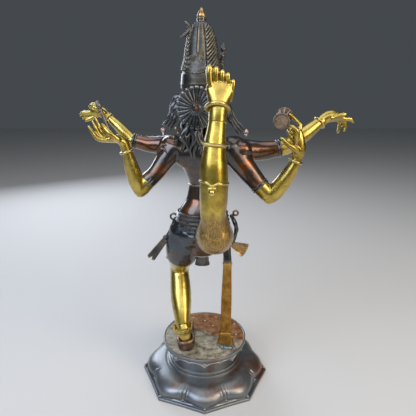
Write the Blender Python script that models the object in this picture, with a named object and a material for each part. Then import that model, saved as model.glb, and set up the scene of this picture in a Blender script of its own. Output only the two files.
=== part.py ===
"""A nataraja statue in cast brass: a four-armed dancer on a lotus pedestal, one leg raised behind it.

Origin: middle of the pedestal's underside. +Z up, the dancer looks along +Y, so its back is toward -Y.
"""
import math

import bmesh
import bpy
from mathutils import Matrix, Vector

# Driving sizes, in metres
figureHeight = 0.714        # top of the disc to the tip of the crown
pedestalHeight = 0.0948     # floor to the top of the disc
discRadius = 0.0983
discThickness = 0.0055
discRimWidth = 0.004
discRimRise = 0.001
footRadius = 0.1505         # middle of the pedestal to a corner of its foot
footPlate = 0.0065          # thickness of the flat edge the pedestal stands on
footSideDip = 0.0008        # how far a side of the foot curves in between its corners
petalInset = 0.007          # petals stand this far inside the foot's edge
petalHeight = 0.0315        # foot plate to the top of the petals
petalTopRadius = 0.099
petalRounding = 0.0015      # a petal's round back stands this far inside the foot's corner
petalFall = 0.0075          # and this much further in beside the grooves
petalBulge = 0.0045         # how far a petal swells past the grooves beside it
neckRadius = discRadius * 0.81
neckStepRise = 0.006
neckStepDepth = 0.0045
bandRadius = discRadius - 0.0038    # hanging band of leaves under the disc
bandHeight = 0.0075
leafDrop = 0.0075           # how far the leaf tips hang below the band
cornerTurns = (-137.5, -90, -42.4, 0.6, 42, 85, 131, 178)   # hand-made octagon, degrees from the front

strutWidth = 0.0235
strutTopWidth = 0.0185
strutThickness = 0.009
strutFootWidth = 0.038
strutFootDepth = 0.022
strutFootHeight = 0.030
strutTurn = math.radians(-16)

jointGap = 0.0003           # hair gap kept where one piece stands on another
castGrain = 0.0026          # cell in which the figure's forms are melted together
figureTriangles = 5000

# The figure is laid out in 714ths of its own height, x and y from the middle of the disc and z from
# its top, so that on this statue each number is about a millimetre.
share = figureHeight / 714
shinTop = (18, -151, 330)
strutFootPlace = (48.5, -38)
strutHeadPlace = (51, -33, 206)
headAxis = (-4, 0)
headTurn = math.radians(-12)
wheelPlace = (2.5, 534)     # across and up, on the turned head
wheelRadius = 41
wheelPetals = 24
wheelRelief = 2.6
lockPitch = 8.4
lockRelief = 1.7
crownSides = 20
crownProfile = (
    (564, 37), (568, 41), (577, 42.5), (580, 42.2), (588, 41.6), (591, 41.2), (596, 40.6), (599, 38),
    (622, 34.5), (645, 31), (664, 27), (680, 21.5), (690, 12.5), (693, 8), (694, 9), (697, 9),
    (700, 8.4), (701, 8.6), (707, 6.4), (713, 3.6), (717, 1),
)
# routes of the outermost and the innermost strand of each bunch, and the ball at its end
hairBunches = (
    (((-37, -8, 562), (-55, -7, 552), (-65, -5, 536), (-70, -4, 516), (-83, -3, 498)),
     ((-37, -11, 548), (-46, -9, 540), (-53, -7, 524), (-57, -5, 508), (-69, -4, 490)), (-83, -4, 487)),
    (((29, -8, 562), (44, -7, 548), (54, -5, 526), (65, -4, 509), (83, -3, 491)),
     ((29, -11, 545), (40, -9, 533), (50, -7, 514), (58, -5, 497), (72, -4, 479)), (87, -4, 484)),
)
beltRows = 4
beltTop = 306.5
beltPitch = 9


def clearScene():
    for thing in list(bpy.data.objects):
        bpy.data.objects.remove(thing, do_unlink=True)


def makeMaterial(name, colour, roughness, metallic=1.0):
    material = bpy.data.materials.new(name)
    material.use_nodes = True
    shader = material.node_tree.nodes["Principled BSDF"]
    shader.inputs["Base Color"].default_value = (*colour, 1.0)
    shader.inputs["Roughness"].default_value = roughness
    shader.inputs["Metallic"].default_value = metallic
    return material


def makeObject(name, mesh, material):
    thing = bpy.data.objects.new(name, mesh)
    bpy.context.scene.collection.objects.link(thing)
    thing.data.materials.append(material)
    return thing


def finishMesh(bm, name):
    """Turns a bmesh into a mesh with its faces pointing out and its round parts shaded smooth."""
    bmesh.ops.recalc_face_normals(bm, faces=bm.faces)
    mesh = bpy.data.meshes.new(name)
    bm.to_mesh(mesh)
    bm.free()
    mesh.shade_smooth()
    mesh.set_sharp_from_angle(angle=math.radians(40))
    return mesh


def onFigure(point):
    """Figure shares to metres above the floor."""
    return Vector((point[0] * share, point[1] * share, pedestalHeight + point[2] * share))


def onHead(point):
    """A place told from the head's own axis, turned with the head."""
    turned = Matrix.Rotation(headTurn, 3, "Z") @ Vector((point[0], point[1], 0))
    return (headAxis[0] + turned.x, headAxis[1] + turned.y, point[2])


def smoothRun(stations, between):
    """Even steps along a smooth curve through the stations; widths are carried along with the places."""
    rows = []
    last = len(stations) - 1
    for i in range(last):
        quad = [stations[max(i - 1, 0)], stations[i], stations[i + 1], stations[min(i + 2, last)]]
        for step in range(between):
            t = step / between
            weights = (
                (-t + 2 * t * t - t ** 3) / 2,
                (2 - 5 * t * t + 3 * t ** 3) / 2,
                (t + 4 * t * t - 3 * t ** 3) / 2,
                (t ** 3 - t * t) / 2,
            )
            rows.append([sum(w * row[k] for w, row in zip(weights, quad)) for k in range(5)])
    rows.append(list(stations[last]))
    return rows


def skinRings(bm, rings, closed=False):
    """Bridges vertex rings of equal length, and fans the two ends shut unless the run is closed."""
    pairs = list(zip(rings, rings[1:]))
    if closed:
        pairs.append((rings[-1], rings[0]))
    for lower, upper in pairs:
        for i in range(len(lower)):
            j = (i + 1) % len(lower)
            bm.faces.new((lower[i], lower[j], upper[j], upper[i]))
    if not closed:
        bm.faces.new(rings[0])
        bm.faces.new(rings[-1])


def limb(bm, stations, sides=12, across=(1, 0, 0), between=3):
    """A rounded form along a smooth path. A station is (x, y, z, half width, half depth), in shares."""
    rows = smoothRun([s if len(s) == 5 else (*s, s[3]) for s in stations], between)
    places = [Vector(row[:3]) for row in rows]
    sections = []
    for i, row in enumerate(rows):
        along = (places[min(i + 1, len(rows) - 1)] - places[max(i - 1, 0)]).normalized()
        sections.append((places[i], along, row[3], row[4]))
    first, final = sections[0], sections[-1]
    heads = []
    tails = []
    for angle in (math.radians(68), math.radians(36)):
        heads.append(capSection(first, -math.sin(angle), math.cos(angle)))
        tails.insert(0, capSection(final, math.sin(angle), math.cos(angle)))
    rings = []
    for place, along, halfWidth, halfDepth in heads + sections + tails:
        side = Vector(across)
        side = (side - side.dot(along) * along).normalized()
        other = along.cross(side)
        ring = []
        for k in range(sides):
            turn = 2 * math.pi * k / sides
            spot = place + side * halfWidth * math.cos(turn) + other * halfDepth * math.sin(turn)
            ring.append(bm.verts.new(onFigure(spot)))
        rings.append(ring)
    skinRings(bm, rings)


def capSection(section, lead, shrink):
    """One ring of a limb's rounded end."""
    place, along, halfWidth, halfDepth = section
    spot = place + along * lead * min(halfWidth, halfDepth)
    return (spot, along, halfWidth * shrink, halfDepth * shrink)


def ball(bm, centre, radii, detail=8, lean=None):
    """An ellipsoid with its radii along X, Y and Z, leaned by a rotation where one is given."""
    if isinstance(radii, (int, float)):
        radii = (radii, radii, radii)
    stretch = Matrix.Diagonal((*[r * share for r in radii], 1))
    turn = lean.to_4x4() if lean else Matrix.Identity(4)
    matrix = Matrix.Translation(onFigure(centre)) @ turn @ stretch
    bmesh.ops.create_uvsphere(bm, u_segments=detail + 4, v_segments=detail, radius=1, matrix=matrix)


def hoop(bm, centre, radii, tube, normal=(0, 0, 1), around=24, across=(1, 0, 0), flat=1.0):
    """A ring of round wire on an oval; flat squeezes the wire along the ring's own axis."""
    axis = Vector(normal).normalized()
    side = Vector(across)
    side = (side - side.dot(axis) * axis).normalized()
    other = axis.cross(side)
    rings = []
    for i in range(around):
        turn = 2 * math.pi * i / around
        out = (side * math.cos(turn) * radii[1] + other * math.sin(turn) * radii[0]).normalized()
        spine = Vector(centre) + side * radii[0] * math.cos(turn) + other * radii[1] * math.sin(turn)
        ring = []
        for k in range(8):
            roll = 2 * math.pi * k / 8
            spot = spine + out * tube * math.cos(roll) + axis * tube * flat * math.sin(roll)
            ring.append(bm.verts.new(onFigure(spot)))
        rings.append(ring)
    skinRings(bm, rings, closed=True)


def plate(bm, outline, thickness, across=(0, 1, 0)):
    """A flat form: an outline of places in shares, thickened evenly to both sides."""
    shift = Vector(across).normalized() * thickness / 2
    lower = [bm.verts.new(onFigure(Vector(p) - shift)) for p in outline]
    upper = [bm.verts.new(onFigure(Vector(p) + shift)) for p in outline]
    skinRings(bm, [lower, upper])


def buildTorso(bm):
    limb(bm, [
        (-4, 0, 240, 44, 36), (-4, -2, 262, 58, 42), (-4, -2, 290, 56, 41), (-3, 0, 314, 46, 36),
        (-2, 2, 338, 36, 30), (-1, 2, 352, 34.5, 28), (0, 3, 378, 32.5, 27), (-1, 2, 404, 41.5, 33),
        (-2, 1, 432, 57, 38),
        (-3, 0, 455, 62, 35), (-4, -1, 472, 48, 27), (-4, -1, 488, 22, 20), (-4, 0, 508, 17.5, 17.5),
    ], sides=18)
    for side in (-1, 1):
        ball(bm, (side * 27 - 2, 20, 436), (25, 20, 18))
        ball(bm, (side * 66 - 2, -2, 449), (27, 26, 27))
    ball(bm, (-88, -16, 444), 11)
    ball(bm, (78, -20, 448), (20, 14, 17))


def buildTorsoOrnaments(bm):
    hoop(bm, (0, 3, 375), (34, 28.5), 2.6, normal=(-0.06, 0, 1))
    for drop, reach in ((0, 24), (8, 33)):
        hoop(bm, (-4, 10 - drop * 0.2, 482 - drop), (reach, reach * 0.82), 3.2, normal=(0, 0.55, 1))
    for row in range(beltRows):
        level = beltTop - row * beltPitch
        half = 51 + row * 2.4
        hoop(bm, (-3, -2, level), (half, half * 0.74), 5.2, normal=(0.02, 0, 1), around=32)
    # sacred thread, shoulder to hip round the front and back
    limb(bm, [(-52, 6, 470, 3), (-40, 33, 448, 3), (-6, 38, 410, 3), (22, 30, 376, 3), (33, 8, 352, 3)])
    # buckle and the two bows at the hips
    ball(bm, (-3, 44, 300), (17, 8, 15))
    hoop(bm, (-67, -2, 300), (7, 7), 2.8, normal=(0, 1, 0), around=14)
    hoop(bm, (68, -2, 307), (8, 6), 3.4, normal=(0.3, 1, 0), around=14)


def buildSashes(bm):
    limb(bm, [(-62, -4, 296, 5, 4), (-68, -4, 278, 6, 4), (-77, -2, 262, 5, 4), (-84, 0, 249, 6.4, 6)])
    fan(bm, (-85, 0, 247), (-1, 0, -1.4), 60, 8, 17)
    limb(bm, [
        (64, -6, 300, 6, 4), (67, -8, 284, 8, 4.5), (70, -6, 268, 8, 4.5), (63, -4, 252, 6, 4),
        (60, -2, 236, 7, 6),
    ])
    fan(bm, (59, -2, 234), (1, 0, -0.55), 40, 8, 34)
    # tail of the loincloth between the thighs
    limb(bm, [(-5, 26, 240, 12, 5), (-5, 30, 200, 13, 4), (-7, 33, 168, 17, 3.4)])
    # strap from the right thigh down to the strut
    limb(bm, [(46, -18, 246, 13, 10), (51, -27, 224, 10, 8), (51, -33, 200, 9.5, 6.5)])


def fan(bm, root, towards, length, rootWidth, endWidth):
    """A flared cloth end with two shallow lobes along its edge, lying in the plane of the back."""
    along = Vector(towards).normalized()
    side = along.cross(Vector((0, 1, 0))).normalized()
    start = Vector(root)
    outline = [start - side * rootWidth / 2]
    for k in range(9):
        spread = k / 8 - 0.5
        lobe = 1 - 0.14 * abs(math.cos(2 * math.pi * spread)) * (1 - abs(spread))
        reach = length * (lobe - 0.10 * (2 * spread) ** 2)
        outline.append(start + along * reach + side * endWidth * spread)
    outline.append(start + side * rootWidth / 2)
    plate(bm, outline, 6)
    for spread in (-0.5, 0.5):
        tip = start + along * length * 0.86 + side * endWidth * spread * 0.9
        limb(bm, [(*start, 4), (*tip, 3.4)], sides=8, between=1)


def buildStandingLeg(bm):
    limb(bm, [
        (-38, 0, 268, 38, 38), (-47, 6, 236, 38, 38), (-52, 14, 206, 35, 34), (-56, 26, 184, 28, 28),
        (-59, 38, 164, 23, 23), (-59.5, 34, 146, 22.5, 22.5), (-57, 18, 124, 24, 24.5),
        (-54.5, -2, 100, 24, 24.5),
        (-51.5, -22, 76, 20.5, 21), (-49, -38, 54, 17, 17.5), (-45, -48, 36, 14, 14.5),
        (-42, -52, 16, 14, 15),
    ], sides=16)
    hoop(bm, (-53, 18, 198), (34, 33), 3.4, normal=(-0.10, 0.30, 1))
    # foot, heel to toes
    limb(bm, [
        (-42, -60, 9, 15, 10), (-42, -48, 14, 17, 17), (-45, -20, 15, 18, 17), (-49, 2, 9, 20, 12),
        (-50, 16, 6, 20, 9),
    ])
    for toe in range(5):
        out = toe * 8.2
        reach = 38 - toe * 2.4 - toe * toe * 0.5
        width = 5.8 if toe == 0 else 4.4
        limb(bm, [(-34 - out, 14, 6, width), (-33.5 - out, 26, 6.5, width),
        (-33 - out, reach, 4.5, width - 0.6)])
    # anklets
    for across, level, reach, tube in ((-47.5, 49, 18, 3.0), (-47.5, 42, 18.5, 4.0), (-41, 25, 15, 3.2)):
        hoop(bm, (across, -50, level), (reach, reach), tube, normal=(-0.15, -0.12, 1))


def buildRaisedLeg(bm):
    limb(bm, [
        (16, 2, 264, 38, 38), (20, -34, 270, 40, 38), (21, -80, 284, 38, 37), (21, -122, 300, 36.5, 36),
        (21, -146, 308, 34, 33),
    ], sides=16)
    limb(bm, [
        (19, -140, 304, 24, 22), shinTop + (22, 23), (17.5, -154, 356, 23.5, 25),
        (18.5, -156, 384, 25, 27),
        (19, -156, 412, 25.2, 27), (18, -153, 442, 23.6, 25), (19.5, -149, 470, 20, 21),
        (23, -144, 502, 16.8, 17), (25.5, -140, 528, 16.2, 17), (26, -137, 548, 16.5, 17),
    ], sides=16)
    # where the shin swells into the bent knee
    limb(bm, [(19, -150, 350, 23.5, 24), (20, -147, 328, 29, 28), (21, -144, 308, 33.5, 32)])
    buildRaisedFoot(bm)
    # disc anklet, thin ring with its bell, and the loose ring over the ankle
    hoop(bm, (20.5, -147, 480), (22, 22.5), 4.0, normal=(0.10, -0.05, 1), flat=0.7)
    hoop(bm, (18.5, -156, 414), (25.5, 27.5), 2.8, normal=(0.10, 0.10, 1))
    ball(bm, (15, -184, 402), (5, 4, 6))
    ball(bm, (15, -185, 392), 3.8)
    hoop(bm, (24.5, -139, 538), (18.8, 19.5), 3.3, normal=(0.06, 0.42, 1))


def buildRaisedFoot(bm):
    limb(bm, [
        (25.5, -134, 540, 17.5, 17), (27.5, -131, 556, 21, 15), (28.8, -131, 570, 23.6, 11.5),
        (29, -132, 582, 23, 8),
    ])
    ball(bm, (24, -112, 541), (14, 13, 16))
    toes = [(11, 608, 6.0), (23, 605, 4.9), (33, 601, 4.8), (42, 596, 4.7), (50.5, 586, 4.6)]
    for place, top, width in toes:
        base = 12 + (place - 11) * 0.86
        limb(bm, [
            (base, -132, 570, width), (place - 1, -134, (570 + top) / 2 + 3, width),
            (place, -131, top - width, width * 0.86),
        ], sides=10)


def buildRearLeftArm(bm):
    limb(bm, [
        (-60, -6, 450, 26, 23), (-80, -14, 427, 20, 20), (-98, -24, 403, 17.4, 17.4),
        (-116, -31, 386, 17.4, 17.4), (-129, -36, 370, 16, 16),
    ], across=(0, 1, 0))
    limb(bm, [
        (-131, -36, 367, 14, 14), (-137, -38, 386, 15.8, 15.6), (-145, -41, 416, 13.4, 13.4),
        (-152, -44, 446, 11, 11),
        (-157, -46, 466, 10, 9.5),
    ])
    for slide in (-4.5, 4.5):
        hoop(bm, (-116 + slide * 0.66, -31 + slide * 0.2, 386 + slide * 0.7),
        (17, 17.5), 2.8, normal=(0.62, 0.28, 0.72))
    hoop(bm, (-153, -44, 449), (12, 12), 2.6, normal=(-0.2, 0, 1))
    limb(bm, [
        (-156, -46, 466, 10, 9), (-167, -46, 474, 12, 8.5), (-181, -46, 475, 13.5, 8),
        (-195, -46, 474, 12.5, 6.2),
    ], across=(0, 1, 0))
    fingers = [
        [(-193, -57, 473, 4.6), (-205, -57, 476, 4.4), (-213, -56, 486, 3.9), (-221, -55, 499, 2.9)],
        [(-193, -49, 475, 4.6), (-204, -49, 484, 4.4), (-209, -49, 495, 3.9), (-215, -48, 508, 2.9)],
        [(-190, -42, 476, 4.6), (-200, -41, 488, 4.4), (-206, -40, 501, 3.9), (-212, -39, 515, 2.9)],
        [(-187, -35, 476, 4.6), (-196, -33, 489, 4.4), (-194, -32, 502, 3.9), (-188, -34, 508, 3.2)],
    ]
    for finger in fingers:
        limb(bm, finger, sides=8)
    limb(bm, [(-166, -57, 474, 6.4), (-178, -60, 485, 5.8), (-187, -56, 493, 5.4),
    (-195, -50, 501, 4.6)], sides=8)
    # rod with its knob
    limb(bm, [(-181, -46, 478, 3.6), (-190, -44, 504, 3.6), (-200, -42, 532, 3.6)], sides=8)
    limb(bm, [(-198.5, -42, 530, 4.4), (-201.5, -41.5, 537, 5.6), (-204.5, -41, 543, 4.8)], sides=8)


def buildFrontLeftArm(bm):
    limb(bm, [
        (-62, 4, 454, 26, 24), (-88, 9, 455, 20, 20), (-115, 13, 455.5, 17.6, 17),
        (-138, 18, 460, 15, 15),
        (-153, 20, 463, 13.6, 13.6),
    ], across=(0, 1, 0))
    limb(bm, [
        (-152, 20, 462, 12.5, 12.5), (-166, 25, 476, 12.6, 12), (-182, 31, 491, 11.4, 11),
        (-197, 37, 504, 9.6, 9),
        (-208, 40, 513, 8.6, 8),
    ], across=(0, 1, 0))
    hoop(bm, (-203, 38, 509), (10, 10.5), 2.6, normal=(-0.72, 0.25, 0.62))
    limb(bm, [
        (-206, 40, 512, 8, 8), (-217, 42, 519, 8, 11), (-229, 44, 523, 7.5, 12), (-238, 46, 523, 6.5, 11),
    ], across=(0, 1, 0))
    fingers = [
        [(-224, 42, 529, 4.8), (-234, 42, 537, 4.6), (-242, 43, 533, 4.4), (-241, 46, 526, 3.8)],
        [(-236, 45, 524, 4.8), (-250, 47, 519, 4.7), (-260, 48, 520, 4.3), (-268, 48, 514, 3.4)],
        [(-236, 46, 517, 4.8), (-248, 49, 512, 4.6), (-257, 50, 511, 4.2), (-264, 51, 507, 3.4)],
        [(-233, 45, 511, 4.6), (-244, 47, 507, 4.5), (-256, 47, 503, 3.6)],
    ]
    for finger in fingers:
        limb(bm, finger, sides=8)
    limb(bm, [(-212, 34, 518, 6), (-221, 29, 527, 5.4), (-231, 28, 532, 4.2)], sides=8)


def buildRearRightArm(bm):
    limb(bm, [
        (56, -6, 450, 28, 27), (76, -14, 424, 25, 24.5), (97, -23, 398, 21.5, 21.5),
        (117, -31, 375, 18.6, 18.6),
        (132, -35, 359, 17.6, 17.6),
    ], across=(0, 1, 0))
    limb(bm, [
        (136, -35, 354, 16, 16.4), (147, -37, 366, 18, 17.4), (166, -41, 394, 15.8, 15.4),
        (180, -44, 419, 12.4, 12.2),
        (186, -45, 436, 10.6, 10),
    ])
    for slide in (-4.5, 4.5):
        hoop(bm, (117 + slide * 0.66, -31, 375 - slide * 0.7),
        (18.4, 18.6), 2.8, normal=(0.66, -0.26, -0.72))
    hoop(bm, (183, -45, 430), (13, 12.5), 2.8, normal=(0.36, 0, 1))
    limb(bm, [
        (186, -45, 436, 10.5, 9.5), (188, -46, 452, 14, 9), (187, -45, 470, 12.5, 8.5),
        (185, -44, 486, 10, 7),
    ])
    fingers = [
        [(187, -42, 488, 4.8), (190, -38, 500, 4.8), (180, -33, 511, 4.4), (170, -31, 520, 3.8)],
        [(181, -50, 468, 4.6), (181, -53, 488, 4.6), (175, -51, 497, 4.2), (166, -48, 499, 3.6)],
        [(178, -42, 472, 4.4), (170, -40, 480, 4.4), (168, -38, 490, 4.0), (174, -36, 495, 3.4)],
        [(182, -36, 476, 4.4), (174, -30, 486, 4.4), (172, -28, 496, 3.8)],
    ]
    for finger in fingers:
        limb(bm, finger, sides=8)
    limb(bm, [(184, -52, 452, 7), (173, -56, 459, 6.4), (163, -55, 466, 5.4),
    (153, -52, 476, 4.6)], sides=8)
    # hourglass drum
    limb(bm, [
        (149.5, -54, 509, 15), (152, -46.5, 510.5, 15.5), (155.5, -36, 513, 8.5), (159, -25.5, 516, 15.5),
        (161.5, -18, 517.5, 15),
    ], sides=14, between=2)


def buildFrontRightArm(bm):
    limb(bm, [
        (56, 4, 450, 28, 26), (88, 8, 444, 24, 23.5), (128, 14, 442, 20.5, 20.5),
        (158, 18, 446, 17.8, 17.6),
        (178, 20, 449, 16.4, 16.4),
    ], across=(0, 1, 0))
    limb(bm, [
        (176, 20, 448, 15.5, 15.5), (194, 26, 460, 17, 17), (216, 32, 475, 16, 16),
        (238, 40, 491, 13.8, 13.6),
        (256, 45, 503, 12, 11.6),
    ], across=(0, 1, 0))
    hoop(bm, (249, 43, 498.5), (14, 14.5), 2.7, normal=(0.72, 0.2, 0.60))
    limb(bm, [
        (254, 44, 503, 11, 11), (268, 46, 511, 12.5, 12.8), (284, 48, 512, 13.5, 12.2),
        (298, 50, 509.5, 12.5, 10),
    ], across=(0, 1, 0))
    fingers = [
        [(294, 40, 508, 5), (306, 41, 506, 4.8), (315, 42, 506, 4.6), (322, 43, 501, 4.0)],
        [(296, 48, 504, 4.6), (306, 49, 500, 4.5), (308, 49, 490, 4.0), (306, 48, 482, 3.4)],
        [(292, 55, 504, 4.6), (298, 56, 498, 4.5), (297, 56, 488, 4.0), (295, 55, 477, 3.4)],
        [(290, 60, 508, 4.6), (300, 62, 504, 4.4), (305, 62, 497, 3.8), (304, 61, 490, 3.4)],
    ]
    for finger in fingers:
        limb(bm, finger, sides=8)
    limb(bm, [(276, 36, 508, 6), (290, 33, 514, 5.4), (300, 34, 517, 4.6)], sides=8)


def buildHead(bm):
    ball(bm, onHead((0, 2, 543)), (32, 35, 40), detail=12)
    ball(bm, onHead((0, 11, 521)), (24, 23, 25), detail=10)
    limb(bm, [(*onHead((0, 35, 548)), 3.2), (*onHead((0, 38, 539)), 3.8),
    (*onHead((0, 40, 531)), 5.4)], sides=8)
    ball(bm, onHead((0, 34, 518)), (8.5, 4.5, 3.6))
    ball(bm, onHead((0, 29, 506)), (9, 8, 7))
    for side in (-1, 1):
        ball(bm, onHead((side * 13, 29, 543)), (9, 6, 4.5))
        limb(bm, [
            (*onHead((side * 6, 34, 551)), 2.2), (*onHead((side * 14, 32, 554)), 2.6),
            (*onHead((side * 23, 25, 550)), 2.2),
        ], sides=8)
        ball(bm, onHead((side * 32, 2, 536)), (5, 9, 16))
        ball(bm, onHead((side * 35, 2, 514)), (7, 8, 9))


def buildCrownTrim(bm):
    """What stands out from the crown: a crescent moon on one side, a small rising figure on the other."""
    limb(bm, [
        (-34, -6, 694, 2.8), (-31, -5, 684, 4), (-27, -4, 675, 5), (-34, -5, 668, 4), (-43, -6, 665, 2.8),
    ], sides=8)
    for level, size in ((644, 6.4), (627, 6), (612, 5.6)):
        ball(bm, (38, -2, level), (size, size, size + 1.6))
    limb(bm, [(38, -2, 606, 4), (38, -2, 650, 4)], sides=8)
    limb(bm, [(20, -2, 632, 6), (38, -2, 634, 4.6)], sides=8)


def crownReach(level):
    """Radius of the crown at a height, in shares."""
    for (low, start), (high, end) in zip(crownProfile, crownProfile[1:]):
        if level <= high:
            return start + (end - start) * (level - low) / (high - low)
    return crownProfile[-1][1]


def crownForm():
    """The tall bun of hair: stacked locks down both sides, a plain panel with a ridge down the back."""
    bm = bmesh.new()
    rows = [(level, 0) for level in (564, 568, 577, 580, 588, 591, 596, 599)]
    level = 603
    while level < 687:
        rows += [(level, -1), (level + lockPitch * 0.45, 1)]
        level += lockPitch
    rows += [(690, 0), (693, 0), (694, 0), (697, 0), (700, 0), (701, 0), (707, 0), (713, 0), (717, 0)]
    rings = []
    for level, relief in rows:
        ring = []
        for k in range(crownSides):
            turn = 2 * math.pi * k / crownSides
            fromBack = min(turn, 2 * math.pi - turn)
            beside = math.radians(30) < fromBack < math.radians(150)
            reach = crownReach(level)
            if relief and beside:
                reach += lockRelief * relief
            elif relief and k == 0:
                reach += lockRelief * 1.2
            spot = onHead((reach * math.sin(turn), -reach * math.cos(turn), level))
            ring.append(bm.verts.new(onFigure(spot)))
        rings.append(ring)
    skinRings(bm, rings)
    return formObject("crown_form", bm)


def wheelForm():
    """The wheel behind the head: ribbed petals with a scalloped rim round a bell-shaped boss."""
    bm = bmesh.new()
    depths = [
        (wheelRadius - 4, wheelRadius - 4, -51), (wheelRadius - 1.5, wheelRadius + 0.5, -53.5),
        (wheelRadius - 3, wheelRadius - 1, -56.5), (13, 13, -57.5), (11, 11, -60), (8, 8, -64),
        (5, 5, -69),
    ]
    rings = []
    for number, (valley, peak, depth) in enumerate(depths):
        ring = []
        for k in range(2 * wheelPetals):
            turn = math.pi * k / wheelPetals
            reach = peak if k % 2 else valley
            lift = wheelRelief if k % 2 and number in (1, 2) else 0
            across = wheelPlace[0] + reach * math.sin(turn)
            level = wheelPlace[1] + reach * math.cos(turn)
            spot = onHead((across, depth - lift, level))
            ring.append(bm.verts.new(onFigure(spot)))
        rings.append(ring)
    skinRings(bm, rings)
    return formObject("wheel_form", bm)


def buildWheelStem(bm):
    limb(bm, [(*onHead((0, -24, 538)), 15), (*onHead((0, -48, 535)), 13)])


def buildHair(bm):
    # bunches falling to the shoulders
    for outer, inner, jewel in hairBunches:
        for strand in range(4):
            limb(bm, [
                [high + (low - high) * strand / 3 for high, low in zip(start, end)] + [size]
                for start, end, size in zip(outer, inner, (6, 5.6, 5.2, 4.8, 4.2))
            ], sides=8)
        ball(bm, jewel, 6)
    # wavy locks lying on the back
    for lock in range(7):
        start = -38 + lock * 10
        sway = 4 if lock % 2 else -4
        length = 66 + 16 * math.cos((lock - 3) * 0.7)
        strand = []
        for step in range(6):
            part = step / 5
            strand.append((
                start * (1 + 0.12 * part) + sway * math.sin(part * math.pi * 2.2) - 4 * part,
                -29 - 7 * math.sin(part * math.pi * 0.8),
                506 - length * part,
                5.4 - 1.8 * part,
            ))
        limb(bm, strand, sides=8, between=2)


def meltTogether(thing, target):
    """One casting: overlapping forms are melted into one skin, eased and thinned to few faces."""
    melt = thing.modifiers.new("melt", "REMESH")
    melt.mode = "VOXEL"
    melt.voxel_size = castGrain
    melt.use_smooth_shade = True
    ease = thing.modifiers.new("ease", "SMOOTH")
    ease.factor = 0.5
    ease.iterations = 2
    bpy.context.view_layer.update()
    depsgraph = bpy.context.evaluated_depsgraph_get()
    count = sum(len(face.vertices) - 2 for face in thing.evaluated_get(depsgraph).data.polygons)
    thin = thing.modifiers.new("thin", "DECIMATE")
    thin.ratio = min(1.0, target / count)


def formObject(name, bm):
    """A hidden form that is added to a casting or cut from it."""
    thing = bpy.data.objects.new(name, finishMesh(bm, name))
    bpy.context.scene.collection.objects.link(thing)
    thing.hide_render = True
    thing.display_type = "WIRE"
    return thing


def boxForm(name, low, high):
    bm = bmesh.new()
    size = [h - l for l, h in zip(low, high)]
    middle = [(h + l) / 2 for l, h in zip(low, high)]
    bmesh.ops.create_cube(bm, size=1, matrix=Matrix.Translation(middle) @ Matrix.Diagonal((*size, 1)))
    return formObject(name, bm)


def combine(thing, form, operation):
    step = thing.modifiers.new(form.name, "BOOLEAN")
    step.operation = operation
    step.solver = "EXACT"
    step.object = form


def buildFigure(material):
    bm = bmesh.new()
    for build in (
        buildTorso, buildTorsoOrnaments, buildSashes, buildStandingLeg, buildRaisedLeg, buildRearLeftArm,
        buildFrontLeftArm, buildRearRightArm, buildFrontRightArm, buildHead, buildCrownTrim,
        buildWheelStem, buildHair,
    ):
        build(bm)
    figure = makeObject("figure", finishMesh(bm, "figure"), material)
    meltTogether(figure, figureTriangles)
    combine(figure, crownForm(), "UNION")
    combine(figure, wheelForm(), "UNION")
    floor = pedestalHeight + jointGap
    combine(figure, boxForm("sole_cutter", (-discRadius, -discRadius, 0),
    (discRadius, discRadius, floor)), "DIFFERENCE")
    head = onFigure(strutHeadPlace)
    low = (head.x - strutWidth, head.y - strutWidth, floor)
    high = (head.x + strutWidth, head.y + strutWidth, head.z + jointGap)
    combine(figure, boxForm("strut_cutter", low, high), "DIFFERENCE")


def side(turn):
    """The side of the foot a direction falls on: its middle, half its angle, and the part of the way
    from the nearer corner, 0, to the middle, 1."""
    corners = [math.radians(degrees) for degrees in cornerTurns]
    corners.append(corners[0] + 2 * math.pi)
    turn = (turn - corners[0]) % (2 * math.pi) + corners[0]
    for start, end in zip(corners, corners[1:]):
        if turn < end:
            middle, half = (start + end) / 2, (end - start) / 2
            return middle, half, 1 - abs(turn - middle) / half
    raise ValueError("no side there")


def octagon(turn):
    """Distance from the middle to the edge of the foot."""
    middle, half, part = side(turn)
    turn = (turn - middle + math.pi) % (2 * math.pi) - math.pi
    straight = footRadius * math.cos(half) / math.cos(turn)
    return straight - footSideDip * math.sin(part * math.pi / 2) ** 2


def petalFoot(turn, part):
    """A petal starts along the straight foot and rounds off over its corner as it climbs."""
    rounded = footRadius - petalInset - petalRounding - petalFall * side(turn)[2] ** 2
    blend = min(1, part / 0.4)
    return (octagon(turn) - petalInset) * (1 - blend) + rounded * blend


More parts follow.
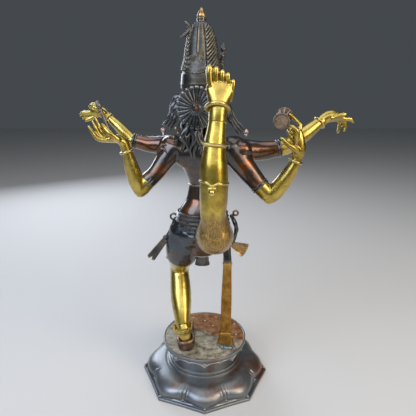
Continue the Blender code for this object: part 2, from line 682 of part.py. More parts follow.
def pedestalLevels():
    """The pedestal's rings from the floor up, each a height and a function from direction to radius."""
    petalBase = footPlate
    petalTop = footPlate + petalHeight
    bandTop = pedestalHeight - discThickness
    bandLow = bandTop - bandHeight
    neckLow = petalTop + neckStepRise

    def foot(inset):
        return lambda turn: octagon(turn) - inset

    def petal(part):
        def radius(turn):
            rise = math.sqrt(1 - part ** 2.2)
            base = petalTopRadius + (petalFoot(turn, part) - petalTopRadius) * rise
            groove = math.sin(side(turn)[2] * math.pi / 2) ** 3
            return base - petalBulge * groove * math.sin(min(1, 0.35 + part) * math.pi / 1.4)
        return radius

    def plain(value):
        return lambda turn: value

    def leaf(turn):
        """Height of the band's lower edge: a pointed leaf hangs over each petal."""
        return bandLow - leafDrop * max(0, 1 - side(turn)[2] * 3)

    levels = [(0, foot(0)), (footPlate - 0.0015, foot(0)), (footPlate, foot(0.002))]
    levels.append((petalBase + 0.0003, foot(petalInset)))
    for step in range(1, 6):
        part = step / 6
        levels.append((petalBase + petalHeight * part, petal(part)))
    levels += [
        (petalTop, plain(petalTopRadius - 0.004)),
        (petalTop + 0.0005, plain(neckRadius + 2 * neckStepDepth)),
        (neckLow, plain(neckRadius + 2 * neckStepDepth)),
        (neckLow + 0.0006, plain(neckRadius + neckStepDepth)),
        (neckLow + neckStepRise, plain(neckRadius + neckStepDepth)),
        (neckLow + neckStepRise + 0.0006, plain(neckRadius)),
        (bandLow - leafDrop * 1.4, plain(neckRadius)),
        (lambda turn: leaf(turn) - 0.0012, plain(neckRadius + 0.004)),
        (leaf, plain(bandRadius - 0.003)),
        (lambda turn: leaf(turn) + 0.0012, plain(bandRadius)),
        (bandTop, plain(bandRadius)),
        (bandTop + 0.0004, plain(discRadius - 0.001)),
        (bandTop + 0.0014, plain(discRadius)),
        (pedestalHeight + discRimRise - 0.0012, plain(discRadius)),
        (pedestalHeight + discRimRise, plain(discRadius - 0.0012)),
        (pedestalHeight + discRimRise, plain(discRadius - discRimWidth + 0.0005)),
        (pedestalHeight, plain(discRadius - discRimWidth)),
    ]
    return levels


def buildPedestal(material):
    bm = bmesh.new()
    directions = []
    for start, end in zip(cornerTurns, cornerTurns[1:] + (cornerTurns[0] + 360,)):
        directions += [math.radians(start + (end - start) * k / 6) for k in range(6)]
    rings = []
    for height, radius in pedestalLevels():
        ring = []
        for turn in directions:
            reach = radius(turn)
            level = height(turn) if callable(height) else height
            ring.append(bm.verts.new((reach * math.sin(turn), -reach * math.cos(turn), level)))
        rings.append(ring)
    skinRings(bm, rings)
    makeObject("pedestal", finishMesh(bm, "pedestal"), material)


def buildStrut(material):
    """A flat bar on a flared foot, leaning a little to meet the strap under the raised thigh."""
    bm = bmesh.new()
    foot = Vector((strutFootPlace[0] * share, strutFootPlace[1] * share, pedestalHeight + jointGap))
    head = onFigure(strutHeadPlace)
    height = head.z - foot.z
    levels = [
        (0, strutFootWidth, strutFootDepth, strutTurn),
        (0.004, strutFootWidth, strutFootDepth, strutTurn),
        (strutFootHeight * 0.8, strutWidth * 1.2, strutThickness * 1.5, strutTurn * 0.5),
        (strutFootHeight, strutWidth * 1.15, strutThickness * 1.5, 0),
        (strutFootHeight + 0.003, strutWidth, strutThickness, 0),
        (height * 0.55, strutWidth, strutThickness, 0), (height, strutTopWidth, strutThickness * 0.85, 0),
    ]
    rings = []
    for level, width, depth, turn in levels:
        middle = foot.lerp(head, level / height)
        corner = min(width, depth) * 0.22
        outline = []
        for sx, sy, order in ((1, -1, 0), (1, 1, 1), (-1, 1, 0), (-1, -1, 1)):
            pair = [(sx * (width / 2 - corner), sy * depth / 2),
            (sx * width / 2, sy * (depth / 2 - corner))]
            outline += pair[::-1] if order else pair
        spin = Matrix.Rotation(turn, 3, "Z")
        rings.append([bm.verts.new(middle + spin @ Vector((x, y, 0))) for x, y in outline])
    skinRings(bm, rings)
    makeObject("support_strut", finishMesh(bm, "support_strut"), material)


def main():
    clearScene()
    darkBronze = makeMaterial("dark patinated bronze", (0.055, 0.040, 0.032), 0.38)
    castBrass = makeMaterial("unpolished cast brass", (0.42, 0.27, 0.09), 0.42)
    buildPedestal(darkBronze)
    buildFigure(darkBronze)
    buildStrut(castBrass)


main()
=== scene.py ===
import math

import bmesh
import bpy
from mathutils import Matrix, Vector


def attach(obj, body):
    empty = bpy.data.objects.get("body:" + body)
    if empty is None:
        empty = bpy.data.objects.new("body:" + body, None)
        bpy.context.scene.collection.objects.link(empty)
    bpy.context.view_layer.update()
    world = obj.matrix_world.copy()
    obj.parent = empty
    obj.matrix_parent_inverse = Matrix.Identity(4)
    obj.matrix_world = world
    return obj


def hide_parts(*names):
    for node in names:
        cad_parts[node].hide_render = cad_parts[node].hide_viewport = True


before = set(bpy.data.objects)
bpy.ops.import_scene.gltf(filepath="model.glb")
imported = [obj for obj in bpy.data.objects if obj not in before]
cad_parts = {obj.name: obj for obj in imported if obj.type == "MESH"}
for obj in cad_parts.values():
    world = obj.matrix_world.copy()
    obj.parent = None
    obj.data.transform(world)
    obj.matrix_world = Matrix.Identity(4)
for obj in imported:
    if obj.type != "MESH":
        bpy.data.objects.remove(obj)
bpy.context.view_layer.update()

# The statue's own layout, as its solids have it. Places on the figure are told in 714ths of its height,
# x and y from the middle of the disc and z from its top: each is about a millimetre on this statue.
statue = {
    "figureHeight": 0.714,
    "pedestalHeight": 0.0948,
    "headAxis": (-4, 0),
    "headTurn": math.radians(-12),
}
share = statue["figureHeight"] / 714


# Placing

def onFigure(point):
    return Vector((point[0] * share, point[1] * share, statue["pedestalHeight"] + point[2] * share))


def onHead(point):
    spun = Matrix.Rotation(statue["headTurn"], 3, "Z") @ Vector((point[0], point[1], 0))
    return (statue["headAxis"][0] + spun.x, statue["headAxis"][1] + spun.y, point[2])


def headRun(stations):
    return [(*onHead(s[:3]), *s[3:]) for s in stations]


def blendStep(value, low, high):  # 0 below low, 1 above high, eased between
    part = min(1, max(0, (value - low) / (high - low)))
    return part * part * (3 - 2 * part)


def bell(value, width):  # 1 at zero, fading to both sides
    return math.exp(-(value / width) ** 2)


# Forms, all added to an open bmesh

def smoothRun(stations, between):
    rows = []
    last = len(stations) - 1
    for i in range(last):
        quad = [stations[max(i - 1, 0)], stations[i], stations[i + 1], stations[min(i + 2, last)]]
        for step in range(between):
            t = step / between
            weights = (
                (-t + 2 * t * t - t ** 3) / 2,
                (2 - 5 * t * t + 3 * t ** 3) / 2,
                (t + 4 * t * t - 3 * t ** 3) / 2,
                (t ** 3 - t * t) / 2,
            )
            rows.append([sum(w * row[k] for w, row in zip(weights, quad)) for k in range(5)])
    rows.append(list(stations[last]))
    return rows


def skinRings(bm, rings, closed=False):
    pairs = list(zip(rings, rings[1:]))
    if closed:
        pairs.append((rings[-1], rings[0]))
    for lower, upper in pairs:
        for i in range(len(lower)):
            j = (i + 1) % len(lower)
            bm.faces.new((lower[i], lower[j], upper[j], upper[i]))
    if not closed:
        bm.faces.new(rings[0])
        bm.faces.new(rings[-1])


def roundTurns(count):
    return [2 * math.pi * k / count for k in range(count)]


def skinGrid(bm, rows, columns, spot, closed=False):
    # a skin of rings, one for each row, through spot(row, column)
    skinRings(bm, [[bm.verts.new(spot(row, column)) for column in columns] for row in rows], closed)


def limb(bm, stations, sides=20, across=(1, 0, 0), between=6, span=None, flutes=(0, 0, 0), swell=0):
    # A rounded form along a smooth path. A station is (x, y, z, half width, half depth).
    # span keeps a stretch of it, told in stations; flutes are (how many, how deep, turns of twist).
    rows = smoothRun([s if len(s) == 5 else (*s, s[3]) for s in stations], between)
    last = len(rows) - 1
    places = [Vector(row[:3]) for row in rows]
    sections = []
    for i, row in enumerate(rows):
        along = (places[min(i + 1, last)] - places[max(i - 1, 0)]).normalized()
        side = Vector(across)
        side = (side - side.dot(along) * along).normalized()
        sections.append((places[i], along, side, row[3] + swell, row[4] + swell))
    low, high = 0, last
    if span:
        low = round(span[0] * between)
        high = min(high, round(span[1] * between))
    # both true ends are rounded by two smaller rings
    parts = [(section, 0, 1) for section in sections[low:high + 1]]
    for angle in (38, 64):
        lead, shrink = math.sin(math.radians(angle)), math.cos(math.radians(angle))
        if low == 0:
            parts.insert(0, (sections[0], -lead, shrink))
        if high == last:
            parts.append((sections[-1], lead, shrink))
    count, depth, twist = flutes

    def spot(numbered, turn):
        number, ((place, along, side, halfWidth, halfDepth), lead, shrink) = numbered
        other = along.cross(side)
        middle = place + along * lead * min(halfWidth, halfDepth)
        reach = shrink * (1 + depth * math.cos(count * (turn + 2 * math.pi * twist * number / len(parts))))
        sideways = side * halfWidth * reach * math.cos(turn)
        return onFigure(middle + sideways + other * halfDepth * reach * math.sin(turn))

    skinGrid(bm, list(enumerate(parts)), roundTurns(sides), spot)


def egg(bm, place, radii, across, high, turn=0):
    # an ellipsoid at a place in the world, turned about the upright
    matrix = Matrix.Translation(place) @ Matrix.Rotation(turn, 4, "Z") @ Matrix.Diagonal((*radii, 1))
    bmesh.ops.create_uvsphere(bm, u_segments=across, v_segments=high, radius=1, matrix=matrix)


def ball(bm, centre, radii, detail=12):
    if isinstance(radii, (int, float)):
        radii = (radii, radii, radii)
    egg(bm, onFigure(centre), [r * share for r in radii], detail + 4, detail)


def axes(normal, across=(1, 0, 0)):
    axis = Vector(normal).normalized()
    side = Vector(across)
    side = (side - side.dot(axis) * axis).normalized()
    return axis, side, axis.cross(side)


def wire(radius, flat=1.0, sides=12):  # a round or flattened wire, as (out, along) places
    return [
        (radius * math.cos(2 * math.pi * k / sides), radius * flat * math.sin(2 * math.pi * k / sides))
        for k in range(sides)
    ]


def hoop(bm, centre, radii, profile, normal=(0, 0, 1), across=(1, 0, 0), around=72, wave=None):
    # Sweeps a closed profile of (out, along) places round an oval; wave adds (out, along) by direction.
    axis, side, other = axes(normal, across)

    def spot(turn, place):
        out = (side * math.cos(turn) * radii[1] + other * math.sin(turn) * radii[0]).normalized()
        spine = Vector(centre) + side * radii[0] * math.cos(turn) + other * radii[1] * math.sin(turn)
        addOut, addAlong = wave(turn) if wave else (0, 0)
        return onFigure(spine + out * (place[0] + addOut) + axis * (place[1] + addAlong))

    skinGrid(bm, roundTurns(around), profile, spot, closed=True)


def beadRow(bm, centre, radii, count, size, normal):
    axis, side, other = axes(normal)
    for turn in roundTurns(count):
        out = side * radii[0] * math.cos(turn) + other * radii[1] * math.sin(turn)
        ball(bm, Vector(centre) + out, size, detail=6)


def turned(bm, foot, profile, lean=(0, 0, 1), sides=32, wave=None):
    # A lathe-turned form: profile is (radius, height) from the foot, along lean.
    axis, side, other = axes(lean, (1, 0, 0) if abs(Vector(lean).normalized().x) < 0.9 else (0, 1, 0))

    def spot(row, turn):
        reach = row[0] * (wave(turn) if wave else 1)
        centre = Vector(foot) + axis * row[1]
        return onFigure(centre + side * reach * math.cos(turn) + other * reach * math.sin(turn))

    skinGrid(bm, profile, roundTurns(sides), spot)


def plate(bm, outline, thickness, across=(0, 1, 0)):
    shift = Vector(across).normalized() * thickness / 2
    lower = [bm.verts.new(onFigure(Vector(p) - shift)) for p in outline]
    upper = [bm.verts.new(onFigure(Vector(p) + shift)) for p in outline]
    skinRings(bm, [lower, upper])


# Making a piece from its forms

pieceCount = 0


def addObject(name, data):
    thing = bpy.data.objects.new(name, data)
    bpy.context.scene.collection.objects.link(thing)
    return thing


def makePiece(name, bm, material, replaces="figure", grain=0, ease=2, wobble=0,
              wobbleSize=24):
    # grain: overlapping forms are melted into one skin on a lattice of that many millimetres.
    # ease: how often that skin is smoothed.
    # wobble: the unevenness of hand-finished wax, in millimetres, over patches of wobbleSize.
    global pieceCount
    bmesh.ops.recalc_face_normals(bm, faces=bm.faces)
    mesh = bpy.data.meshes.new(name)
    bm.to_mesh(mesh)
    bm.free()
    thing = addObject(name, mesh)
    if grain:
        melt = thing.modifiers.new("melt", "REMESH")
        melt.mode = "VOXEL"
        melt.voxel_size = grain / 1000
        soften = thing.modifiers.new("soften", "SMOOTH")
        soften.factor = 0.5
        soften.iterations = ease
    if wobble:
        clouds = bpy.data.textures.new(name + "_wax", "CLOUDS")
        clouds.noise_scale = wobbleSize / 1000
        clouds.noise_depth = 1
        lumps = thing.modifiers.new("wax", "DISPLACE")
        lumps.texture = clouds
        lumps.texture_coords = "LOCAL"
        lumps.strength = wobble / 1000
        lumps.mid_level = 0.5
    if grain or wobble:
        depsgraph = bpy.context.evaluated_depsgraph_get()
        shaped = bpy.data.meshes.new_from_object(thing.evaluated_get(depsgraph))
        thing.modifiers.clear()
        thing.data = shaped
        bpy.data.meshes.remove(mesh)
    thing.data.shade_smooth()
    if not grain:
        thing.data.set_sharp_from_angle(angle=math.radians(45))
    thing.data.materials.clear()
    thing.data.materials.append(material)
    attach(thing, "root")
    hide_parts(replaces)
    pieceCount += 1


# Finishes

def fromHex(code):
    parts = [int(code[i:i + 2], 16) / 255 for i in (1, 3, 5)]
    return (*[p / 12.92 if p <= 0.04045 else ((p + 0.055) / 1.055) ** 2.4 for p in parts], 1)


def perMetre(millimetres):  # texture scale whose features are about this size
    return 1000 / millimetres


def feed(tree, node, inputs):
    # an input takes a plain value, a socket of another node, or another node, meaning its first output
    for socket, value in inputs.items():
        if isinstance(value, bpy.types.Node):
            value = value.outputs[0]
        if isinstance(value, bpy.types.NodeSocket):
            tree.links.new(value, node.inputs[socket])
        else:
            node.inputs[socket].default_value = value


def addNode(tree, kind, inputs=None, stops=None, **settings):
    node = tree.nodes.new("ShaderNode" + kind)
    for key, value in settings.items():
        setattr(node, key, value)
    if stops:
        ramp = node.color_ramp.elements
        ramp.remove(ramp[1])
        ramp[0].position = stops[0][0]
        ramp[0].color = fromHex(stops[0][1])
        for place, colour in stops[1:]:
            ramp.new(place).color = fromHex(colour)
    feed(tree, node, inputs or {})
    return node


def mixTones(tree, factor, first, second):
    mix = addNode(tree, "Mix", {0: factor, 6: first, 7: second}, data_type="RGBA")
    return mix.outputs[2]


def startMaterial(name):
    material = bpy.data.materials.new(name)
    material.use_nodes = True
    tree = material.node_tree
    shader = tree.nodes["Principled BSDF"]
    place = addNode(tree, "TexCoord").outputs["Object"]
    return material, tree, shader, place


def brassMaterial(name, finish):
    # Cast brass is copper and zinc: a saturated yellow metal whose hollows keep dark polish and tarnish.
    material, tree, shader, place = startMaterial(name)
    tarnish = addNode(tree, "TexNoise", {
        "Vector": place, "Scale": perMetre(finish["patchMm"]), "Detail": 4, "Roughness": 0.6,
        "Distortion": 0.6,
    })
    hue = addNode(tree, "ValToRGB", {"Fac": tarnish}, stops=finish["hues"])
    fold = addNode(tree, "NewGeometry").outputs["Pointiness"]
    hollow = addNode(tree, "MapRange", {
        "Value": fold, "From Min": 0.40, "From Max": 0.485, "To Min": 1, "To Max": 0,
    })
    edge = addNode(tree, "MapRange", {
        "Value": fold, "From Min": 0.52, "From Max": 0.60, "To Min": 0, "To Max": finish["edgeShare"],
    })
    dirty = mixTones(tree, hollow, hue, fromHex(finish["hollow"]))
    worn = mixTones(tree, edge, dirty, fromHex(finish["edge"]))
    # strokes of the buff and file, drawn coarser than real so that they show
    lay = addNode(tree, "Mapping", {"Vector": place, "Scale": finish["strokeLay"]})
    strokes = addNode(tree, "TexNoise", {
        "Vector": lay, "Scale": perMetre(finish["strokeMm"]), "Detail": 3, "Roughness": 0.65,
    })
    gloss = addNode(tree, "MapRange", {
        "Value": strokes, "From Min": 0.3, "From Max": 0.7,
        "To Min": finish["gloss"][0], "To Max": finish["gloss"][1],
    })
    if "raw" in finish:
        # below this height the casting was left as it came from the mould: duller and redder
        rise = addNode(tree, "SeparateXYZ", {"Vector": place}).outputs["Z"]
        ragged = addNode(tree, "Math", {0: tarnish, 1: 0.035}, operation="MULTIPLY")
        line = addNode(tree, "Math", {0: rise, 1: ragged}, operation="ADD")
        raw = addNode(tree, "MapRange", {
            "Value": line, "From Min": finish["raw"] - 0.004, "From Max": finish["raw"] + 0.018,
            "To Min": 1, "To Max": 0,
        })
        rawHue = addNode(tree, "ValToRGB", {"Fac": strokes}, stops=finish["rawHues"])
        worn = mixTones(tree, raw, worn, rawHue)
        duller = addNode(tree, "Math", {0: raw, 1: 0.16}, operation="MULTIPLY")
        gloss = addNode(tree, "Math", {0: gloss, 1: duller}, operation="ADD")
    dimple = addNode(tree, "TexNoise", {"Vector": place, "Scale": perMetre(finish["dimpleMm"]),
                                        "Detail": 2})
    coarse = addNode(tree, "Bump", {"Height": dimple, "Strength": finish["dimple"], "Distance": 0.001})
    fine = addNode(tree, "Bump", {
        "Height": strokes, "Strength": finish["stroke"], "Distance": 0.0004, "Normal": coarse,
    })
    feed(tree, shader, {
        "Base Color": worn, "Metallic": 1, "Roughness": gloss, "Normal": fine,
        "Coat Weight": finish["lacquer"], "Coat Roughness": 0.08,
    })
    return material


def patinaMaterial(name, finish):
    # Brass darkened with sulphide and waxed: near-black brown, rubbed to copper brown where hands and
    # cloths pass, with a clear wax gloss over it that gives neutral highlights.
    edgeFrom, edgeShare, edgeTone = finish["edge"]
    skinMm, skinDepth = finish["skin"]
    wax, waxGloss = finish["wax"]
    material, tree, shader, place = startMaterial(name)
    cloud = addNode(tree, "TexNoise", {
        "Vector": place, "Scale": perMetre(finish["patchMm"]), "Detail": 5, "Roughness": 0.62,
        "Distortion": 0.4,
    })
    depth = addNode(tree, "ValToRGB", {"Fac": cloud}, stops=finish["tones"])
    fold = addNode(tree, "NewGeometry").outputs["Pointiness"]
    edge = addNode(tree, "MapRange", {
        "Value": fold, "From Min": edgeFrom, "From Max": edgeFrom + 0.07, "To Min": 0, "To Max": edgeShare,
    })
    speck = addNode(tree, "TexNoise", {"Vector": place, "Scale": perMetre(9), "Detail": 2})
    broken = addNode(tree, "MapRange", {
        "Value": speck, "From Min": 0.36, "From Max": 0.6, "To Min": 0.25, "To Max": 1,
    })
    rubbed = addNode(tree, "Math", {0: edge, 1: broken}, operation="MULTIPLY")
    gloss = addNode(tree, "MapRange", {
        "Value": speck, "From Min": 0.3, "From Max": 0.7,
        "To Min": finish["gloss"][0], "To Max": finish["gloss"][1],
    })
    skin = addNode(tree, "TexNoise", {"Vector": place, "Scale": perMetre(skinMm), "Detail": 2,
                                      "Roughness": 0.5})
    feed(tree, shader, {
        "Base Color": mixTones(tree, rubbed, depth, fromHex(edgeTone)),
        "Metallic": finish["metallic"],
        "Roughness": gloss,
        "Normal": addNode(tree, "Bump", {"Height": skin, "Strength": skinDepth, "Distance": 0.001}),
        "Coat Weight": wax, "Coat Roughness": waxGloss,
    })
    return material


# buffed and lacquered: bright yellow with sharp highlights
buffed = {
    "hues": [(0.28, "#927a27"), (0.44, "#b29637"), (0.56, "#c5ac47"), (0.72, "#d2bf66")],
    "patchMm": 26, "hollow": "#4f3a10", "edge": "#f3e6ae", "edgeShare": 0.6,
    "strokeLay": (1, 1, 0.22), "strokeMm": 1.6, "stroke": 0.06, "gloss": (0.26, 0.38),
    "dimpleMm": 11, "dimple": 0.08, "lacquer": 1.0,
}
polishedBrass = brassMaterial("polished_brass", buffed)
# the same, but knee and thigh were left as cast: matt and browner
kneeBrass = brassMaterial("half_polished_brass", {
    **buffed, "stroke": 0.08, "lacquer": 0.6,
    "raw": 0.462, "rawHues": [(0.34, "#806231"), (0.50, "#a3834a"), (0.66, "#bd9f66")],
})
# brass as it left the mould: matt ochre, scratched lengthwise
castBrass = brassMaterial("unpolished_brass", {
    "hues": [(0.32, "#7c5620"), (0.48, "#9a6e30"), (0.60, "#a97d3c"), (0.74, "#b98f50")],
    "patchMm": 14, "hollow": "#3d290d", "edge": "#e2c077", "edgeShare": 0.6,
    "strokeLay": (1, 1, 0.06), "strokeMm": 1.0, "stroke": 0.4, "gloss": (0.34, 0.52),
    "dimpleMm": 5, "dimple": 0.2, "lacquer": 0.0,
})
# thin patina worn by handling: warm brown with a low sheen
heelBronze = patinaMaterial("brown_heel_patina", {
    "tones": [(0.30, "#3a2f2a"), (0.48, "#5e483c"), (0.60, "#7a5d4c"), (0.74, "#967260")],
    "patchMm": 12, "edge": (0.53, 0.7, "#c9a88e"), "metallic": 0.8,
    "gloss": (0.3, 0.44), "skin": (3, 0.16), "wax": (0.4, 0.16),
})
# near-black brown under wax, copper brown where it is rubbed
darkBronze = patinaMaterial("waxed_dark_patina", {
    "tones": [(0.30, "#2b2a29"), (0.44, "#46423f"), (0.53, "#5d4536"), (0.62, "#824a22"),
              (0.75, "#9a5e33")],
    "patchMm": 52, "edge": (0.54, 0.7, "#b07c50"), "metallic": 0.85,
    "gloss": (0.27, 0.34), "skin": (6, 0.03), "wax": (0.9, 0.12),
})
# near-black patina under wax, tinted slate blue-black as a painted reflection of cool blue light; the brown
# in patches is real patina
shortsPaintedReflectionBronze = patinaMaterial("patina_with_painted_blue_reflection", {
    "tones": [(0.30, "#2b2f34"), (0.50, "#474e55"), (0.62, "#4f4a47"), (0.74, "#6b4936")],
    "patchMm": 50, "edge": (0.54, 0.7, "#a8947c"), "metallic": 0.85,
    "gloss": (0.22, 0.30), "skin": (6, 0.04), "wax": (0.8, 0.08),
})
# without wax: dull grey brown with pale worn edges
dryBronze = patinaMaterial("dry_dark_patina", {
    "tones": [(0.32, "#35322f"), (0.50, "#55504c"), (0.64, "#665c52"), (0.78, "#7b6350")],
    "patchMm": 34, "edge": (0.515, 0.85, "#c9bba4"), "metallic": 0.75,
    "gloss": (0.32, 0.48), "skin": (2.5, 0.22), "wax": (0.35, 0.2),
})
# blue-black with a soft sheen on each strand
hairBronze = patinaMaterial("blue_black_patina", {
    "tones": [(0.32, "#2f3133"), (0.50, "#4b4e50"), (0.64, "#5e5a56"), (0.80, "#7a5a45")],
    "patchMm": 30, "edge": (0.52, 0.7, "#a8a39a"), "metallic": 0.8,
    "gloss": (0.24, 0.38), "skin": (3, 0.14), "wax": (0.6, 0.12),
})
# dull and dusty, with pale metal on every raised edge
crownBronze = patinaMaterial("worn_crown_patina", {
    "tones": [(0.32, "#31302e"), (0.50, "#494640"), (0.64, "#5c5446"), (0.78, "#77684f")],
    "patchMm": 30, "edge": (0.507, 0.85, "#cabd9f"), "metallic": 0.75,
    "gloss": (0.34, 0.46), "skin": (3, 0.10), "wax": (0.3, 0.22),
})
# patina rubbed through to warm copper brown
copperBronze = patinaMaterial("rubbed_copper_brown", {
    "tones": [(0.30, "#4a3025"), (0.48, "#6f4a35"), (0.60, "#8c6247"), (0.74, "#ac8261")],
    "patchMm": 16, "edge": (0.52, 0.8, "#e3c19a"), "metallic": 0.85,
    "gloss": (0.24, 0.4), "skin": (3, 0.2), "wax": (0.4, 0.15),
})
# rubbed to the bare metal: brownish gold
goldTip = patinaMaterial("rubbed_gold_brown", {
    "tones": [(0.30, "#7d5a35"), (0.48, "#ab8552"), (0.60, "#c9a46c"), (0.74, "#dcbd8a")],
    "patchMm": 14, "edge": (0.53, 0.7, "#f0dcb4"), "metallic": 0.9,
    "gloss": (0.24, 0.38), "skin": (3, 0.14), "wax": (0.3, 0.15),
})
# rubbed to pale copper, nearly pink
paleTip = patinaMaterial("rubbed_pale_copper", {
    "tones": [(0.30, "#9a7f74"), (0.48, "#c4aaa0"), (0.60, "#ddcbc2"), (0.74, "#efe6e0")],
    "patchMm": 8, "edge": (0.54, 0.6, "#f4ece6"), "metallic": 0.8,
    "gloss": (0.3, 0.42), "skin": (3, 0.2), "wax": (0.4, 0.15),
})
# coarse sandy casting skin: brown and matt
drumBronze = patinaMaterial("textured_drum_bronze", {
    "tones": [(0.36, "#3d2f27"), (0.50, "#5f4d40"), (0.62, "#7d6654"), (0.76, "#a08670")],
    "patchMm": 6, "edge": (0.52, 0.7, "#d5b99a"), "metallic": 0.6,
    "gloss": (0.40, 0.56), "skin": (1.4, 0.7), "wax": (0.15, 0.3),
})
# the base's bronze rubbed pale on its high edges
trimBronze = patinaMaterial("rubbed_trim_patina", {
    "tones": [(0.30, "#8b8f92"), (0.54, "#a3a5a4"), (0.66, "#a08c7a"), (0.78, "#a3744f")],
    "patchMm": 60, "edge": (0.55, 0.5, "#ded8c8"), "metallic": 0.85,
    "gloss": (0.32, 0.40), "skin": (14, 0.015), "wax": (0.5, 0.25),
})
# blue grey under wax, with soft wide highlights and rust brown patches
baseBronze = patinaMaterial("waxed_base_patina", {
    "tones": [(0.30, "#6f7377"), (0.54, "#8a8c8c"), (0.64, "#84695a"), (0.76, "#8f5b3d")],
    "patchMm": 95, "edge": (0.55, 0.5, "#d6cfbd"), "metallic": 0.85,
    "gloss": (0.36, 0.42), "skin": (14, 0.015), "wax": (0.5, 0.25),
})
print("finishes ready")


# Torso, hips and upper arms

